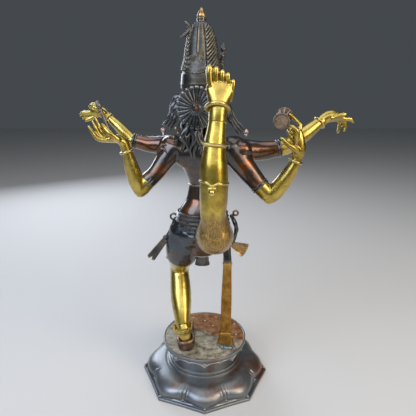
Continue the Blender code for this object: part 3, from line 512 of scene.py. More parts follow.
arms = {
    "rearLeft": {
        "upper": [(-60, -6, 450, 26, 23), (-80, -14, 427, 20, 20), (-98, -24, 403, 17.4, 17.4),
                  (-116, -31, 386, 17.4, 17.4), (-129, -36, 370, 16, 16)],
        "cut": 3.17,
        "lower": [(-131, -36, 367, 14, 14), (-138, -38, 388, 16.4, 16), (-146, -41, 418, 14.6, 14),
                  (-152, -44, 446, 11, 11), (-157, -46, 466, 10, 9.5)],
        "lowerAcross": (1, 0, 0),
        "armlet": ((-116, -31, 386), (17.2, 17.4), (0.62, 0.28, -0.72)),
        "bracelet": ((-153, -44, 449), (11.8, 11.8), (-0.28, 0, 1), 2.9),
        "palm": [(-156, -46, 466, 10, 9), (-167, -46, 474, 12, 8.5), (-181, -46, 475, 13.5, 8),
                 (-195, -46, 474, 12.5, 6.2)],
        "palmAcross": (0, 1, 0),
        "fingers": [
            [(-193, -57, 473, 4.6), (-205, -57, 476, 4.4), (-213, -56, 486, 3.9), (-221, -55, 499, 2.7)],
            [(-193, -49, 475, 4.6), (-204, -49, 484, 4.4), (-209, -49, 495, 3.9), (-215, -48, 508, 2.7)],
            [(-190, -42, 476, 4.6), (-200, -41, 488, 4.4), (-206, -40, 501, 3.9), (-212, -39, 515, 2.7)],
            [(-187, -35, 476, 4.6), (-196, -33, 489, 4.4), (-194, -32, 502, 3.9), (-188, -34, 508, 3.0)],
            [(-166, -57, 474, 6.4), (-178, -60, 485, 5.8), (-187, -56, 493, 5.4), (-195, -50, 501, 4.4)],
        ],
    },
    "frontLeft": {
        "upper": [(-62, 4, 454, 26, 24), (-88, 9, 455, 20, 20), (-115, 13, 455.5, 17.6, 17),
                  (-138, 18, 460, 15, 15), (-153, 20, 463, 13.6, 13.6)],
        "cut": 3.67,
        "lower": [(-152, 20, 462, 12.5, 12.5), (-166, 25, 476, 12.6, 12), (-182, 31, 491, 11.4, 11),
                  (-197, 37, 504, 9.6, 9), (-208, 40, 513, 8.6, 8)],
        "lowerAcross": (0, 1, 0),
        "armlet": ((-148, 19.4, 461.8), (14.2, 14.4), (-1, 0.12, 0.2)),
        "bracelet": ((-203, 38, 509), (9.6, 10), (-0.72, 0.25, 0.62), 2.2),
        "palm": [(-206, 40, 512, 8, 8), (-217, 42, 519, 8, 11), (-229, 44, 523, 7.5, 12),
                 (-238, 46, 523, 6.5, 11)],
        "palmAcross": (0, 1, 0),
        "fingers": [
            [(-224, 42, 529, 4.8), (-234, 42, 537, 4.6), (-242, 43, 533, 4.4), (-241, 46, 526, 3.6)],
            [(-236, 45, 524, 4.8), (-250, 47, 519, 4.7), (-260, 48, 520, 4.2), (-267, 48, 514, 3.0)],
            [(-236, 46, 517, 4.8), (-248, 49, 512, 4.6), (-257, 50, 511, 4.2), (-263, 51, 507, 3.0)],
            [(-233, 45, 511, 4.6), (-244, 47, 507, 4.5), (-256, 47, 503, 3.4)],
            [(-212, 34, 518, 6), (-221, 29, 527, 5.4), (-231, 28, 532, 4.0)],
        ],
    },
    "rearRight": {
        "upper": [(56, -6, 450, 28, 27), (76, -14, 424, 25, 24.5), (97, -23, 398, 21.5, 21.5),
                  (117, -31, 375, 18.6, 18.6), (132, -35, 359, 17.6, 17.6)],
        "cut": 3.17,
        "lower": [(136, -35, 354, 16, 16.4), (147, -37, 366, 18, 17.4), (166, -41, 394, 15.8, 15.4),
                  (180, -44, 419, 12.4, 12.2), (186, -45, 436, 10.6, 10)],
        "lowerAcross": (1, 0, 0),
        "armlet": ((117, -31, 375), (18.6, 18.6), (0.66, -0.26, -0.72)),
        "bracelet": ((183, -45, 430), (12.4, 12), (0.36, 0, 1), 3.0),
        "palm": [(186, -45, 436, 10.5, 9.5), (188, -46, 452, 14, 9), (187, -45, 470, 12.5, 8.5),
                 (185, -44, 486, 10, 7)],
        "palmAcross": (1, 0, 0),
        "fingers": [
            [(187, -42, 488, 4.8), (190, -38, 500, 4.8), (180, -33, 511, 4.4), (170, -31, 520, 3.6)],
            [(181, -50, 468, 4.6), (181, -53, 488, 4.6), (175, -51, 497, 4.2), (166, -48, 499, 3.4)],
            [(178, -42, 472, 4.4), (170, -40, 480, 4.4), (168, -38, 490, 4.0), (174, -36, 495, 3.2)],
            [(182, -36, 476, 4.4), (174, -30, 486, 4.4), (172, -28, 496, 3.6)],
            [(184, -52, 452, 7), (173, -56, 459, 6.4), (163, -55, 466, 5.4), (153, -52, 476, 4.4)],
        ],
    },
    "frontRight": {
        "upper": [(56, 4, 450, 28, 26), (88, 8, 444, 24, 23.5), (128, 14, 442, 20.5, 20.5),
                  (158, 18, 446, 17.8, 17.6), (178, 20, 449, 16.4, 16.4)],
        "cut": 3.17,
        "lower": [(176, 20, 448, 15.5, 15.5), (194, 26, 460, 17, 17), (216, 32, 475, 16, 16),
                  (238, 40, 491, 13.8, 13.6), (256, 45, 503, 12, 11.6)],
        "lowerAcross": (0, 1, 0),
        "armlet": ((160, 18, 446.5), (17.6, 17.6), (1, 0.1, 0.16)),
        "bracelet": ((249, 43, 498.5), (13.2, 13.7), (0.72, 0.2, 0.60), 2.6),
        "palm": [(254, 44, 503, 11, 11), (268, 46, 511, 12.5, 12.8), (284, 48, 512, 13.5, 12.2),
                 (298, 50, 509.5, 12.5, 10)],
        "palmAcross": (0, 1, 0),
        "fingers": [
            [(294, 40, 508, 5), (306, 41, 506, 4.8), (315, 42, 506, 4.6), (321.4, 43, 501, 3.7)],
            [(296, 48, 504, 4.6), (306, 49, 500, 4.5), (308, 49, 490, 4.0), (306, 48, 482, 3.2)],
            [(292, 55, 504, 4.6), (298, 56, 498, 4.5), (297, 56, 488, 4.0), (295, 55, 477, 3.2)],
            [(290, 60, 508, 4.6), (300, 62, 504, 4.4), (305, 62, 497, 3.8), (304, 61, 490, 3.2)],
            [(276, 36, 508, 6), (290, 33, 514, 5.4), (300, 34, 517, 4.4)],
        ],
    },
}
torso = {
    "trunk": [
        (-4, 0, 240, 44, 36), (-4, -2, 262, 58, 42), (-4, -2, 296, 55, 41), (-3.5, -1, 313, 51, 38),
        (-2, 2, 336, 38, 31), (-1, 2, 352, 34.5, 28), (0, 3, 378, 32.5, 27), (-1, 2, 404, 41.5, 33),
        (-2, 1, 432, 57, 38), (-3, 0, 455, 62, 35), (-4, -1, 472, 48, 27), (-4, -1, 488, 22, 20),
        (-4, 0, 508, 17.5, 17.5),
    ],
    "armLeaves": [
        ((-76, 8, 474), 3.4), ((-92, 10, 473), 3.2), ((-106, 12, 471.5), 3.0), ((-118, 13, 471), 3.2),
        ((-132, 16, 472.5), 3.0),
    ],
    "grain": 1.8,
}


def buildTorso():
    bm = bmesh.new()
    limb(bm, torso["trunk"], sides=40, between=8)
    for side in (-1, 1):
        ball(bm, (side * 27 - 2, 20, 436), (25, 20, 18), detail=20)  # breast
        ball(bm, (side * 66 - 2, -2, 449), (27, 26, 27), detail=20)  # shoulder
        ball(bm, (side * 34 - 3, -13, 438), (26, 20, 28), detail=20)  # shoulder blade
    ball(bm, (-1, 14, 356), (26, 18, 30), detail=16)  # belly
    ball(bm, (78, -20, 448), (20, 14, 17), detail=14)
    limb(bm, [(-4, 30, 462, 4), (-26, 27, 467, 4), (-52, 14, 466, 4)])  # collar bones
    limb(bm, [(-4, 30, 462, 4), (18, 27, 467, 4), (44, 14, 466, 4)])
    for arm in arms.values():
        limb(bm, arm["upper"], sides=32, across=(0, 1, 0), between=8, span=(0, arm["cut"]))
    makePiece("torso", bm, darkBronze, grain=torso["grain"], ease=18, wobble=1.4, wobbleSize=30)

    bm = bmesh.new()
    # curl of hair in low relief on the left shoulder, and small leaves cast along the top of the arm
    ball(bm, (-84, -15, 440), (11, 9, 11), detail=20)
    hoop(bm, (-84, -25, 440), (10.4, 11.4), wire(3.2), normal=(-0.35, -1, 0.1), around=40)
    curl = [(-92, -22, 450, 3.0), (-84, -22, 459, 3.4), (-74, -23, 457, 3.2), (-68, -25, 446, 2.8)]
    limb(bm, curl, sides=14)
    limb(bm, [(-76, -24, 446, 3.0), (-70, -26, 436, 3.0), (-67, -24, 424, 2.2)], sides=14)
    for place, size in torso["armLeaves"]:
        ball(bm, place, (size * 1.7, size, size * 0.8), detail=10)
    makePiece("shoulder_curl", bm, darkBronze, grain=1.0, ease=8)

    bm = bmesh.new()
    for place, size in (((-56, -24, 493), 3.2), ((-60.5, -24, 475), 3.0), ((-52, -25, 484), 2.4)):
        ball(bm, place, size, detail=12)
    makePiece("shoulder_beads", bm, goldTip)


def buildForearm(name, arm):
    bm = bmesh.new()
    limb(bm, arm["upper"], sides=32, across=(0, 1, 0), between=8, span=(arm["cut"] - 0.13, 4), swell=-0.3)
    limb(bm, arm["lower"], sides=32, across=arm["lowerAcross"], between=8)
    limb(bm, arm["palm"], sides=24, across=arm["palmAcross"])
    for finger in arm["fingers"]:
        limb(bm, finger, sides=14)
    makePiece(name + "_forearm", bm, polishedBrass, grain=1.25, ease=4, wobble=0.2)


def buildArmRings(name, arm):
    bm = bmesh.new()
    centre, radii, normal = arm["armlet"]
    axis = Vector(normal).normalized()
    for slide in (-4.4, 1.2):
        hoop(bm, Vector(centre) + axis * slide, radii, wire(1.9), normal=normal)
    makePiece(name + "_armlet", bm, hairBronze)
    bm = bmesh.new()
    centre, radii, normal, tube = arm["bracelet"]
    hoop(bm, centre, radii, wire(tube), normal=normal)
    makePiece(name + "_bracelet", bm, polishedBrass)


buildTorso()
for armName, armShape in arms.items():
    buildForearm(armName, armShape)
    buildArmRings(armName, armShape)
print("torso and arms made")


# Legs

standingLeg = {
    "run": [
        (-38, 0, 268, 38, 38), (-47, 6, 236, 38, 38), (-52, 14, 206, 35, 34), (-56, 26, 184, 28, 28),
        (-59, 38, 164, 23, 23), (-59.5, 34, 146, 22.5, 22.5), (-57, 18, 124, 24, 24.5),
        (-54.5, -2, 100, 24, 24.5),
        (-51.5, -22, 76, 20.5, 21), (-49, -38, 54, 17, 17.5), (-45, -48, 36, 14, 14.5),
        (-42, -52, 16, 14, 15),
    ],
    "hem": 2.3,
    "ankle": 10.6,
}
raisedLeg = {
    "thigh": [
        (16, 2, 264, 38, 38), (20, -34, 270, 40, 38), (21, -80, 284, 38, 37), (21, -122, 300, 36.5, 36),
        (21, -146, 308, 34, 33),
    ],
    "hem": 1.7,
    "shin": [
        (19, -140, 304, 24, 22), (18, -151, 330, 22, 23), (17.5, -154, 356, 23.5, 25),
        (18.5, -156, 384, 25, 27),
        (19, -156, 412, 25.2, 27), (18, -153, 442, 23.6, 25), (19.5, -149, 470, 20, 21),
        (23, -144, 502, 16.8, 17), (24.4, -142, 516, 15.8, 16.2),
    ],
    "knee": [(19, -150, 350, 23.5, 24), (20, -147, 328, 29, 28), (21, -144, 308, 33.5, 32)],
    "sole": [
        (24.6, -141.4, 515, 16.4, 16.8), (25.7, -138, 534, 16.6, 16.8), (27, -134.5, 550, 19.8, 15.5),
        (28.6, -132.5, 564, 23.4, 12), (29, -132, 573, 23.8, 9.6),
    ],
    "toes": [(11.2, 608, 5.9), (22.6, 605.5, 4.7), (32.6, 600.5, 4.6), (42, 596, 4.4), (50.8, 585, 4.2)],
}


def buildStandingLeg():
    bm = bmesh.new()
    limb(bm, standingLeg["run"], sides=40, between=10, span=(0, standingLeg["hem"]), swell=1.2)
    limb(bm, raisedLeg["thigh"], sides=40, between=10, span=(0, raisedLeg["hem"]), swell=1.2)
    # two broad folds of the cloth across the seat, and a rolled hem
    for level, half, tube in ((265, 63, 4.2), (252, 60, 3.8)):
        hoop(bm, (-4, -4, level), (half, half * 0.68), wire(tube, 1.3), (0.04, 0, 1))
    hoop(bm, (-53, 18, 198), (34.6, 33.6), wire(2.6), (-0.10, 0.30, 1))
    for side in (-1, 1):
        ball(bm, (side * 26 - 4, -18, 262), (31, 28, 31), detail=20)  # buttock
    # the shorts' slate blue tone is a painted reflection of cool light over the dark patina
    makePiece("shorts", bm, shortsPaintedReflectionBronze, grain=1.8, ease=6, wobble=1.2)

    bm = bmesh.new()
    limb(bm, standingLeg["run"], sides=40, between=10,
         span=(standingLeg["hem"] - 0.2, standingLeg["ankle"]))
    ball(bm, (-60, 47, 172), (15, 12, 15), detail=16)  # kneecap, at the front
    makePiece("standing_shin", bm, polishedBrass, grain=1.7, ease=6, wobble=0.5)

    bm = bmesh.new()
    limb(bm, standingLeg["run"], sides=32, between=10, span=(standingLeg["ankle"] - 0.1, 11))
    limb(bm, [
        (-42, -59, 8, 18, 11), (-42, -49, 14, 20.5, 19), (-45, -20, 15, 19, 17), (-49, 2, 9, 20, 12),
        (-50, 16, 6, 20, 9),
    ], sides=32)
    for toe in range(5):
        out = toe * 8.2
        reach = 38 - toe * 2.4 - toe * toe * 0.5
        width = 5.8 if toe == 0 else 4.4
        limb(bm, [(-34 - out, 14, 6, width), (-33.5 - out, 26, 6.5, width),
                  (-33 - out, reach, 4.5, width - 0.6)])
    cutBelow(bm, statue["pedestalHeight"])
    makePiece("standing_foot", bm, heelBronze, grain=1.3, ease=3, wobble=0.6)


def cutBelow(bm, level):
    everything = bm.verts[:] + bm.edges[:] + bm.faces[:]
    cut = bmesh.ops.bisect_plane(
        bm, geom=everything, plane_co=(0, 0, level), plane_no=(0, 0, -1), clear_outer=True,
    )
    rim = [e for e in cut["geom_cut"] if isinstance(e, bmesh.types.BMEdge)]
    bmesh.ops.holes_fill(bm, edges=rim, sides=0)


def buildRaisedLeg():
    bm = bmesh.new()
    limb(bm, raisedLeg["thigh"], sides=44, between=10, span=(raisedLeg["hem"] - 0.15, 4))
    limb(bm, raisedLeg["shin"], sides=40, between=8)
    limb(bm, raisedLeg["knee"], sides=36)
    makePiece("raised_leg", bm, kneeBrass, grain=1.7, ease=9, wobble=1.0, wobbleSize=34)

    bm = bmesh.new()
    limb(bm, raisedLeg["sole"], sides=36)
    ball(bm, (24, -114, 543), (15, 14, 17), detail=20)
    for place, top, width in raisedLeg["toes"]:
        base = 12.5 + (place - 11) * 0.86
        limb(bm, [
            (base, -132, top - 34, width * 0.9, width * 1.4),
            (place - 0.5, -133.6, top - 15, width, width * 1.15),
            (place, -133.6, top - width * 1.05, width, width),
        ], sides=20)
    makePiece("raised_foot", bm, polishedBrass, grain=0.8, ease=4)


buildStandingLeg()
buildRaisedLeg()
print("legs made")


# Rings, belts and cloth

legRings = {
    "disc": {"centre": (20.5, -147, 480), "radii": (17.5, 18), "normal": (0.10, -0.05, 1)},
    "thin": {"centre": (18.5, -156, 414), "radii": (25.0, 27.0), "normal": (0.10, 0.10, 1)},
    "loose": {"centre": (24.5, -139, 537), "radii": (19.0, 21.4), "normal": (0.05, 0.56, 1)},
}
belts = {
    "middle": (-4, -2), "top": 309, "step": 8.6, "rows": 5, "reach": 54.0, "flare": 1.7, "depth": 0.76,
    "normal": (0.02, 0, 1),
}


def buildLegRings():
    bm = bmesh.new()
    ring = legRings["disc"]
    profile = [(0, 3.2), (3.0, 2.9), (7.2, 2.0), (8.6, 0.8), (8.3, -0.6), (6.4, -2.2), (3.8, -4.4),
               (1.6, -6.8), (0, -8.6), (-2, 0)]
    hoop(bm, ring["centre"], ring["radii"], profile, normal=ring["normal"])
    ring = legRings["thin"]
    # the thin ring dips where its bell hangs, at the back of the calf
    hoop(bm, ring["centre"], ring["radii"], wire(2.5), normal=ring["normal"],
         wave=lambda turn: (0, -5 * bell(turn - 1.455 * math.pi, 0.24)))
    ring = legRings["loose"]
    hoop(bm, ring["centre"], ring["radii"], wire(3.9), normal=ring["normal"])
    # pendant: a short cross bar over a round bell
    bar = [(9.4, -183, 408, 2.6), (15, -184, 408.6, 3.0), (20.6, -183, 408, 2.6)]
    limb(bm, bar, sides=18, across=(0, 0, 1))
    turned(bm, (15, -182.2, 413), [
        (0.6, 0), (3.0, -1), (3.6, -4), (3.2, -7), (4.8, -8.6), (5.8, -12), (5.4, -15), (3.4, -18),
        (0.6, -19),
    ], sides=26)
    makePiece("raised_leg_rings", bm, polishedBrass)

    bm = bmesh.new()
    # anklet of the standing leg: a collar of pointed petals that flare up and out over a plain neck
    lean = (-0.15, -0.12, 1)
    axis, side, other = axes(lean)
    hoop(bm, (-48, -46, 49), (18.6, 18.6), wire(3.0), normal=lean)
    hoop(bm, (-47.6, -47, 44.5), (17.2, 17.2), wire(2.2), normal=lean)
    for k in range(12):
        turn = 2 * math.pi * (k + 0.5) / 12
        out = side * math.cos(turn) + other * math.sin(turn)
        foot = Vector((-48, -46, 48)) + out * 18
        limb(bm, [
            (*foot, 4.8, 2.6), (*(foot + out * 2.2 + axis * 3), 4.4, 2.2),
            (*(foot + out * 3.4 + axis * 7), 2.6, 1.6), (*(foot + out * 5.0 + axis * 11.5), 0.8, 0.8),
        ], sides=12, across=tuple(axis.cross(out)), between=4)
    limb(bm, [(-47, -46, 50, 16, 16), (-45, -48, 42, 15.2, 15.4), (-43, -50.4, 34, 13.4, 13.8),
              (-42.5, -51, 27, 13.6, 14)], sides=28)
    makePiece("standing_anklet", bm, polishedBrass, grain=0.9, ease=2)

    bm = bmesh.new()
    hoop(bm, (-42, -51, 26), (18.2, 18.0), wire(3.0), normal=(-0.13, -0.10, 1))
    makePiece("foot_ring", bm, copperBronze)


def buildBelts():
    bm = bmesh.new()
    band = [(0, 4.6), (1.6, 4.3), (2.4, 3.4), (1.6, 2.4), (0.4, 1.6), (0.4, 0.9), (1.4, 0), (0.4, -0.9),
            (0.4, -1.6), (1.6, -2.4), (2.4, -3.4), (1.6, -4.3), (0, -4.6), (-9, -4), (-9, 4)]
    for row in range(belts["rows"]):
        level = belts["top"] - row * belts["step"]
        half = belts["reach"] + row * belts["flare"]
        centre = (belts["middle"][0], belts["middle"][1], level)
        radii = (half, half * belts["depth"])
        hoop(bm, centre, radii, band, normal=belts["normal"], around=110)
        if row == 3:
            beadRow(bm, centre, (radii[0] + 1.2, radii[1] + 1.2), 84, 1.5, normal=belts["normal"])
    # waist band, and the bow at the left hip
    ridge = [(0, 2.2), (1.8, 1.2), (1.8, -1.2), (0, -2.2), (-2, 0)]
    hoop(bm, (0, 3, 375), (32.6, 27.4), ridge, normal=(-0.06, 0, 1))
    hoop(bm, (-67, -2, 300), (6.8, 6.8), wire(2.2), normal=(0, 1, 0), around=36)
    makePiece("belts", bm, hairBronze)

    bm = bmesh.new()
    hoop(bm, (69, -2, 308), (5.4, 5.2), wire(2.2), normal=(0.3, 1, 0), around=36)
    ball(bm, (62, -4, 302), (4, 4, 4))
    makePiece("right_bow", bm, copperBronze, grain=0.9)

    bm = bmesh.new()
    turned(bm, (-3, 34, 300), [(15, 0), (16, 3), (14, 5.5), (10, 6.5), (9, 9), (6, 11), (3, 12),
                               (0.6, 12.4)],
           lean=(0, 1, 0), sides=40, wave=lambda turn: 1 + 0.05 * math.cos(turn * 10))
    beadRow(bm, (-3, 39.6, 300), (14.6, 14.6), 20, 1.7, normal=(0, 1, 0))
    makePiece("belt_buckle", bm, copperBronze)


def fan(bm, root, towards, length, rootWidth, endWidth, folds=5, notch=0.05):
    # a flared cloth end: a sheet of cast pleats, notched in the middle of its edge
    along = Vector(towards).normalized()
    face = Vector((0, 1, 0))
    side = along.cross(face).normalized()
    start = Vector(root)
    columns, rows = 24, 14
    layers = []
    for sheet in (-1, 1):
        grid = []
        for r in range(rows + 1):
            line = []
            for c in range(columns + 1):
                spread = c / columns - 0.5
                lobe = 1 - notch * bell(spread, 0.12)
                reach = length * (lobe - 0.08 * (2 * spread) ** 2) * r / rows
                width = rootWidth + (endWidth - rootWidth) * (r / rows)
                pleat = 0.55 * math.cos(2 * math.pi * folds * spread) * r / rows
                thick = 2.1 + (0.9 if abs(spread) > 0.44 or r == rows else 0)
                spot = start + along * reach + side * width * spread + face * (pleat + sheet * thick)
                line.append(bm.verts.new(onFigure(spot)))
            grid.append(line)
        layers.append(grid)
    back, front = layers
    for grid in layers:
        for r in range(rows):
            for c in range(columns):
                bm.faces.new((grid[r][c], grid[r][c + 1], grid[r + 1][c + 1], grid[r + 1][c]))
    edge = [(0, c) for c in range(columns)] + [(r, columns) for r in range(rows)]
    edge += [(rows, c) for c in range(columns, 0, -1)] + [(r, 0) for r in range(rows, 0, -1)]
    for (r, c), (nextR, nextC) in zip(edge, edge[1:] + edge[:1]):
        bm.faces.new((back[r][c], back[nextR][nextC], front[nextR][nextC], front[r][c]))


def buildCloth():
    bm = bmesh.new()
    limb(bm, [(-62, -4, 296, 5, 4), (-68, -4, 278, 6, 4), (-77, -2, 262, 5, 4), (-84, 0, 249, 5.4, 5)],
         flutes=(4, 0.12, 0.2))
    ball(bm, (-86, -2, 250.5), (6.6, 6.4, 6.6), detail=20)
    limb(bm, [(-83, 2, 246, 5), (-80, 3, 232, 4.4), (-79, 4, 222, 2.4)], flutes=(4, 0.12, 0.2))
    makePiece("left_sash", bm, hairBronze, grain=0.9)

    bm = bmesh.new()
    fan(bm, (-87, 0, 246), (-1, 0, -1.32), 60, 13, 20, folds=2, notch=0.14)
    makePiece("left_sash_end", bm, dryBronze)

    bm = bmesh.new()
    limb(bm, [(60, -6, 303, 4.6, 4), (67, -8, 288, 4.4, 4), (71, -6, 274, 4.6, 4), (69, -4, 258, 4.4, 4),
              (62, -2, 238, 5, 4.6)], flutes=(4, 0.16, 0.9))
    makePiece("right_sash", bm, hairBronze, grain=0.8)

    bm = bmesh.new()
    fan(bm, (59, -2, 236), (1, 0, -0.50), 40, 9, 33, folds=5, notch=0.02)
    makePiece("right_sash_end", bm, goldTip)

    bm = bmesh.new()
    limb(bm, [(-5, 26, 240, 12, 5), (-5, 30, 200, 13, 4), (-5, 33, 168, 17.6, 3.4)], flutes=(6, 0.08, 0))
    limb(bm, [(46, -18, 246, 12, 8), (50, -27, 225, 8.6, 6.6), (51, -33, 208, 9, 5.6)], flutes=(6, 0.08, 0))
    makePiece("loincloth", bm, hairBronze, grain=1.3, ease=2)


def buildNecklaces():
    bm = bmesh.new()
    for drop, reach, size in ((0, 24, 1.9), (8, 33, 2.3)):
        centre = (-4, 10 - drop * 0.2, 482 - drop)
        radii = (reach, reach * 0.82)
        hoop(bm, centre, radii, wire(1.8), normal=(0, 0.55, 1))
        beadRow(bm, centre, (radii[0] + 1.6, radii[1] + 1.6), 46, size, normal=(0, 0.55, 1))
    # sacred thread, three strands from the left shoulder to the right hip
    for strand in range(3):
        slip = strand * 2.4
        limb(bm, [
            (-52 + slip, 8, 470, 1.4), (-40 + slip, 36, 448, 1.4), (-8 + slip, 41, 412, 1.4),
            (20 + slip, 32, 378, 1.4), (33 + slip * 0.4, 8, 354, 1.4),
        ], sides=8)
    # pendants on the breast
    for k in range(7):
        turn = math.radians(-54 + 18 * k)
        spot = (-4 + 35 * math.sin(turn), 8 + 29 * math.cos(turn) + 4, 470 - 17 * math.cos(turn))
        ball(bm, spot, (2.4, 2, 3.6), detail=8)
    makePiece("necklaces", bm, copperBronze)


buildLegRings()
buildBelts()
buildCloth()
buildNecklaces()
print("jewellery and cloth made")


# Head and hair

def buildHead():
    bm = bmesh.new()
    ball(bm, onHead((0, 2, 543)), (32, 35, 40), detail=40)
    ball(bm, onHead((0, 9, 521)), (24, 24, 25), detail=30)  # jaw
    limb(bm, headRun([(0, 34, 553, 2.6), (0, 37, 544, 3.0), (0, 40.5, 534, 3.9), (0, 41.5, 530, 4.6)]),
         sides=16)
    for side in (-1, 1):
        ball(bm, onHead((side * 4.6, 37.6, 529.4)), (3.4, 3.6, 3.0), detail=12)  # nostril
        ball(bm, onHead((side * 16, 23, 529)), (12, 11, 13), detail=20)  # cheek
        ball(bm, onHead((side * 13.5, 28.6, 543.4)), (8.4, 7.2, 4.4), detail=20)  # eyeball
        limb(bm, headRun([(side * 4.6, 34.4, 542.2, 0.9), (side * 9, 36.4, 546.2, 1.4),
                          (side * 15, 35, 547.4, 1.4),
                          (side * 20, 31, 545.4, 1.2), (side * 25, 25.5, 542.6, 0.7)]), sides=10)
        limb(bm, headRun([(side * 5, 34.4, 541.4, 0.8), (side * 11, 35.8, 539.0, 1.1),
                          (side * 17, 33, 539.4, 1.0), (side * 23, 27.4, 541.8, 0.7)]), sides=10)
        limb(bm, headRun([(side * 4.4, 36.2, 552.6, 1.2), (side * 12, 36, 556.4, 1.5),
                          (side * 19, 32, 556, 1.3), (side * 25.6, 25.4, 551.6, 0.8)]), sides=10)  # brow
        limb(bm, headRun([(side * 30.5, 4, 552, 3.4, 4), (side * 33.5, 0, 546, 3.6, 5.6),
                          (side * 33, 1, 536, 3.2, 5),
                          (side * 32.5, 3, 526, 3.2, 4.2), (side * 33, 4, 516, 2.8, 3.4)]), sides=16)  # ear
        hoop(bm, onHead((side * 35.4, 2, 542)), (5.4, 8.4), wire(1.4), normal=(1, 0.2, 0), across=(0, 1, 0))
    limb(bm, headRun([(-9.4, 33.4, 519.2, 0.9), (-4, 38.0, 521.4, 1.9), (0, 38.8, 520.6, 1.9),
                      (4, 38.0, 521.4, 1.9), (9.4, 33.4, 519.2, 0.9)]), sides=12)
    limb(bm, headRun([(-8, 33.6, 517, 1.0), (0, 37.8, 514.8, 2.6), (8, 33.6, 517, 1.0)]), sides=12)
    ball(bm, onHead((0, 30.5, 506)), (8.5, 7.2, 6.6), detail=16)  # chin
    ball(bm, onHead((0, 36, 561)), (2.0, 1.8, 5), detail=12)  # mark on the forehead
    limb(bm, headRun([(0, -24, 538, 15), (0, -48, 535, 12)]), sides=24)  # stem of the wheel
    makePiece("head", bm, darkBronze, grain=1.0, ease=2)

    bm = bmesh.new()
    for side in (-1, 1):
        turned(bm, onHead((side * 35, 3, 515)), [
            (0.8, 3), (2.6, 2), (3, 0), (7.4, -3), (8.4, -6), (7.4, -9), (3.2, -12), (3.6, -14), (1.2, -17),
        ], sides=24, wave=lambda turn: 1 + 0.05 * math.cos(turn * 8))
    makePiece("earrings", bm, copperBronze)


# routes of the outermost and the innermost strand of each bunch, and the ball at its end
hairBunches = (
    (((-37, -8, 562), (-55, -7, 552), (-65, -5, 536), (-70, -4, 516), (-83, -3, 498)),
     ((-37, -11, 548), (-46, -9, 540), (-53, -7, 524), (-57, -5, 508), (-69, -4, 490)), (-83, -4, 487)),
    (((29, -8, 562), (44, -7, 548), (54, -5, 526), (65, -4, 509), (83, -3, 491)),
     ((29, -11, 545), (40, -9, 533), (50, -7, 514), (58, -5, 497), (72, -4, 479)), (87, -4, 484)),
)


def buildHairBunches():
    bm = bmesh.new()
    for outer, inner, jewel in hairBunches:
        for strand in range(6):
            part = strand / 5
            run = []
            for step, (far, near, size) in enumerate(zip(outer, inner, (5.0, 4.4, 3.8, 3.2, 2.3))):
                sway = (0, 1.4, -1.6, 1.4, 0)[step] * (1 if strand % 2 else -1)
                place = [f + (n - f) * part + sway * k for f, n, k in zip(far, near, (0.5, 1.4, 0.5))]
                run.append((*place, size))
            limb(bm, run, sides=22, between=8, flutes=(4, 0.12, 0.15))
    makePiece("hair_bunches", bm, hairBronze)

    for name, (outer, inner, jewel) in zip(("left", "right"), hairBunches):
        bm = bmesh.new()
        ball(bm, jewel, 5.6, detail=20)
        drop = [(3.2, 0), (3.8, -2), (2.2, -3.4), (2.6, -4.4), (0.8, -5.4)]
        turned(bm, (jewel[0], jewel[1], jewel[2] - 4), drop, sides=18)
        makePiece(name + "_hair_jewel", bm, paleTip)


def buildBackLocks():
    bm = bmesh.new()
    for layer, (count, width, lift) in enumerate(((7, 6.6, 0), (6, 5.6, 5.5))):
        for lock in range(count):
            centre = (lock - (count - 1) / 2) / ((count - 1) / 2)
            start = centre * (34 if layer else 38)
            sway = 4.5 if (lock + layer) % 2 else -4.5
            length = 90 - 30 * abs(centre) - 16 * layer + 5 * math.sin(lock * 2.3)
            strand = []
            for step in range(7):
                part = step / 6
                strand.append((
                    -2 + start * (1 + 0.06 * part) + sway * math.sin(part * math.pi * 2.2 + lock),
                    -26 - lift - 9 * math.sin(part * math.pi * 0.75),
                    508 - length * part,
                    width * (1 - 0.6 * part ** 2.4),
                ))
            limb(bm, strand, sides=20, between=6, flutes=(3, 0.12, 0.5))
    makePiece("back_locks", bm, hairBronze)


crown = {
    "profile": (
        (564, 36), (568, 40.5), (577, 42.2), (580, 41.8), (588, 41.2), (591, 40.8), (596, 40.2),
        (599, 38.2),
        (622, 34.8), (645, 31.4), (664, 27.4), (680, 21.8), (690, 12.5), (693, 8), (694, 9), (697, 9),
        (700, 7.4),
    ),
    "collar": ((8, 686), (12.4, 689), (9.4, 691.6), (8.8, 694), (9.4, 696), (9.2, 698.4), (7.4, 699.6),
               (6.6, 701)),
    "finial": ((6.6, 699), (8.0, 700), (8.7, 701.6), (8.7, 702.8), (7.2, 707), (5.2, 711), (3.2, 714.4),
               (1.2, 716.6), (0.3, 717)),
    "lockPitch": 7.2, "lockRise": 3.6, "panelLeft": 40, "panelRight": 28, "frontFrom": 152,
}


def crownReach(level):
    for (low, start), (high, end) in zip(crown["profile"], crown["profile"][1:]):
        if level <= high:
            return start + (end - start) * (level - low) / (high - low)
    return crown["profile"][-1][1]


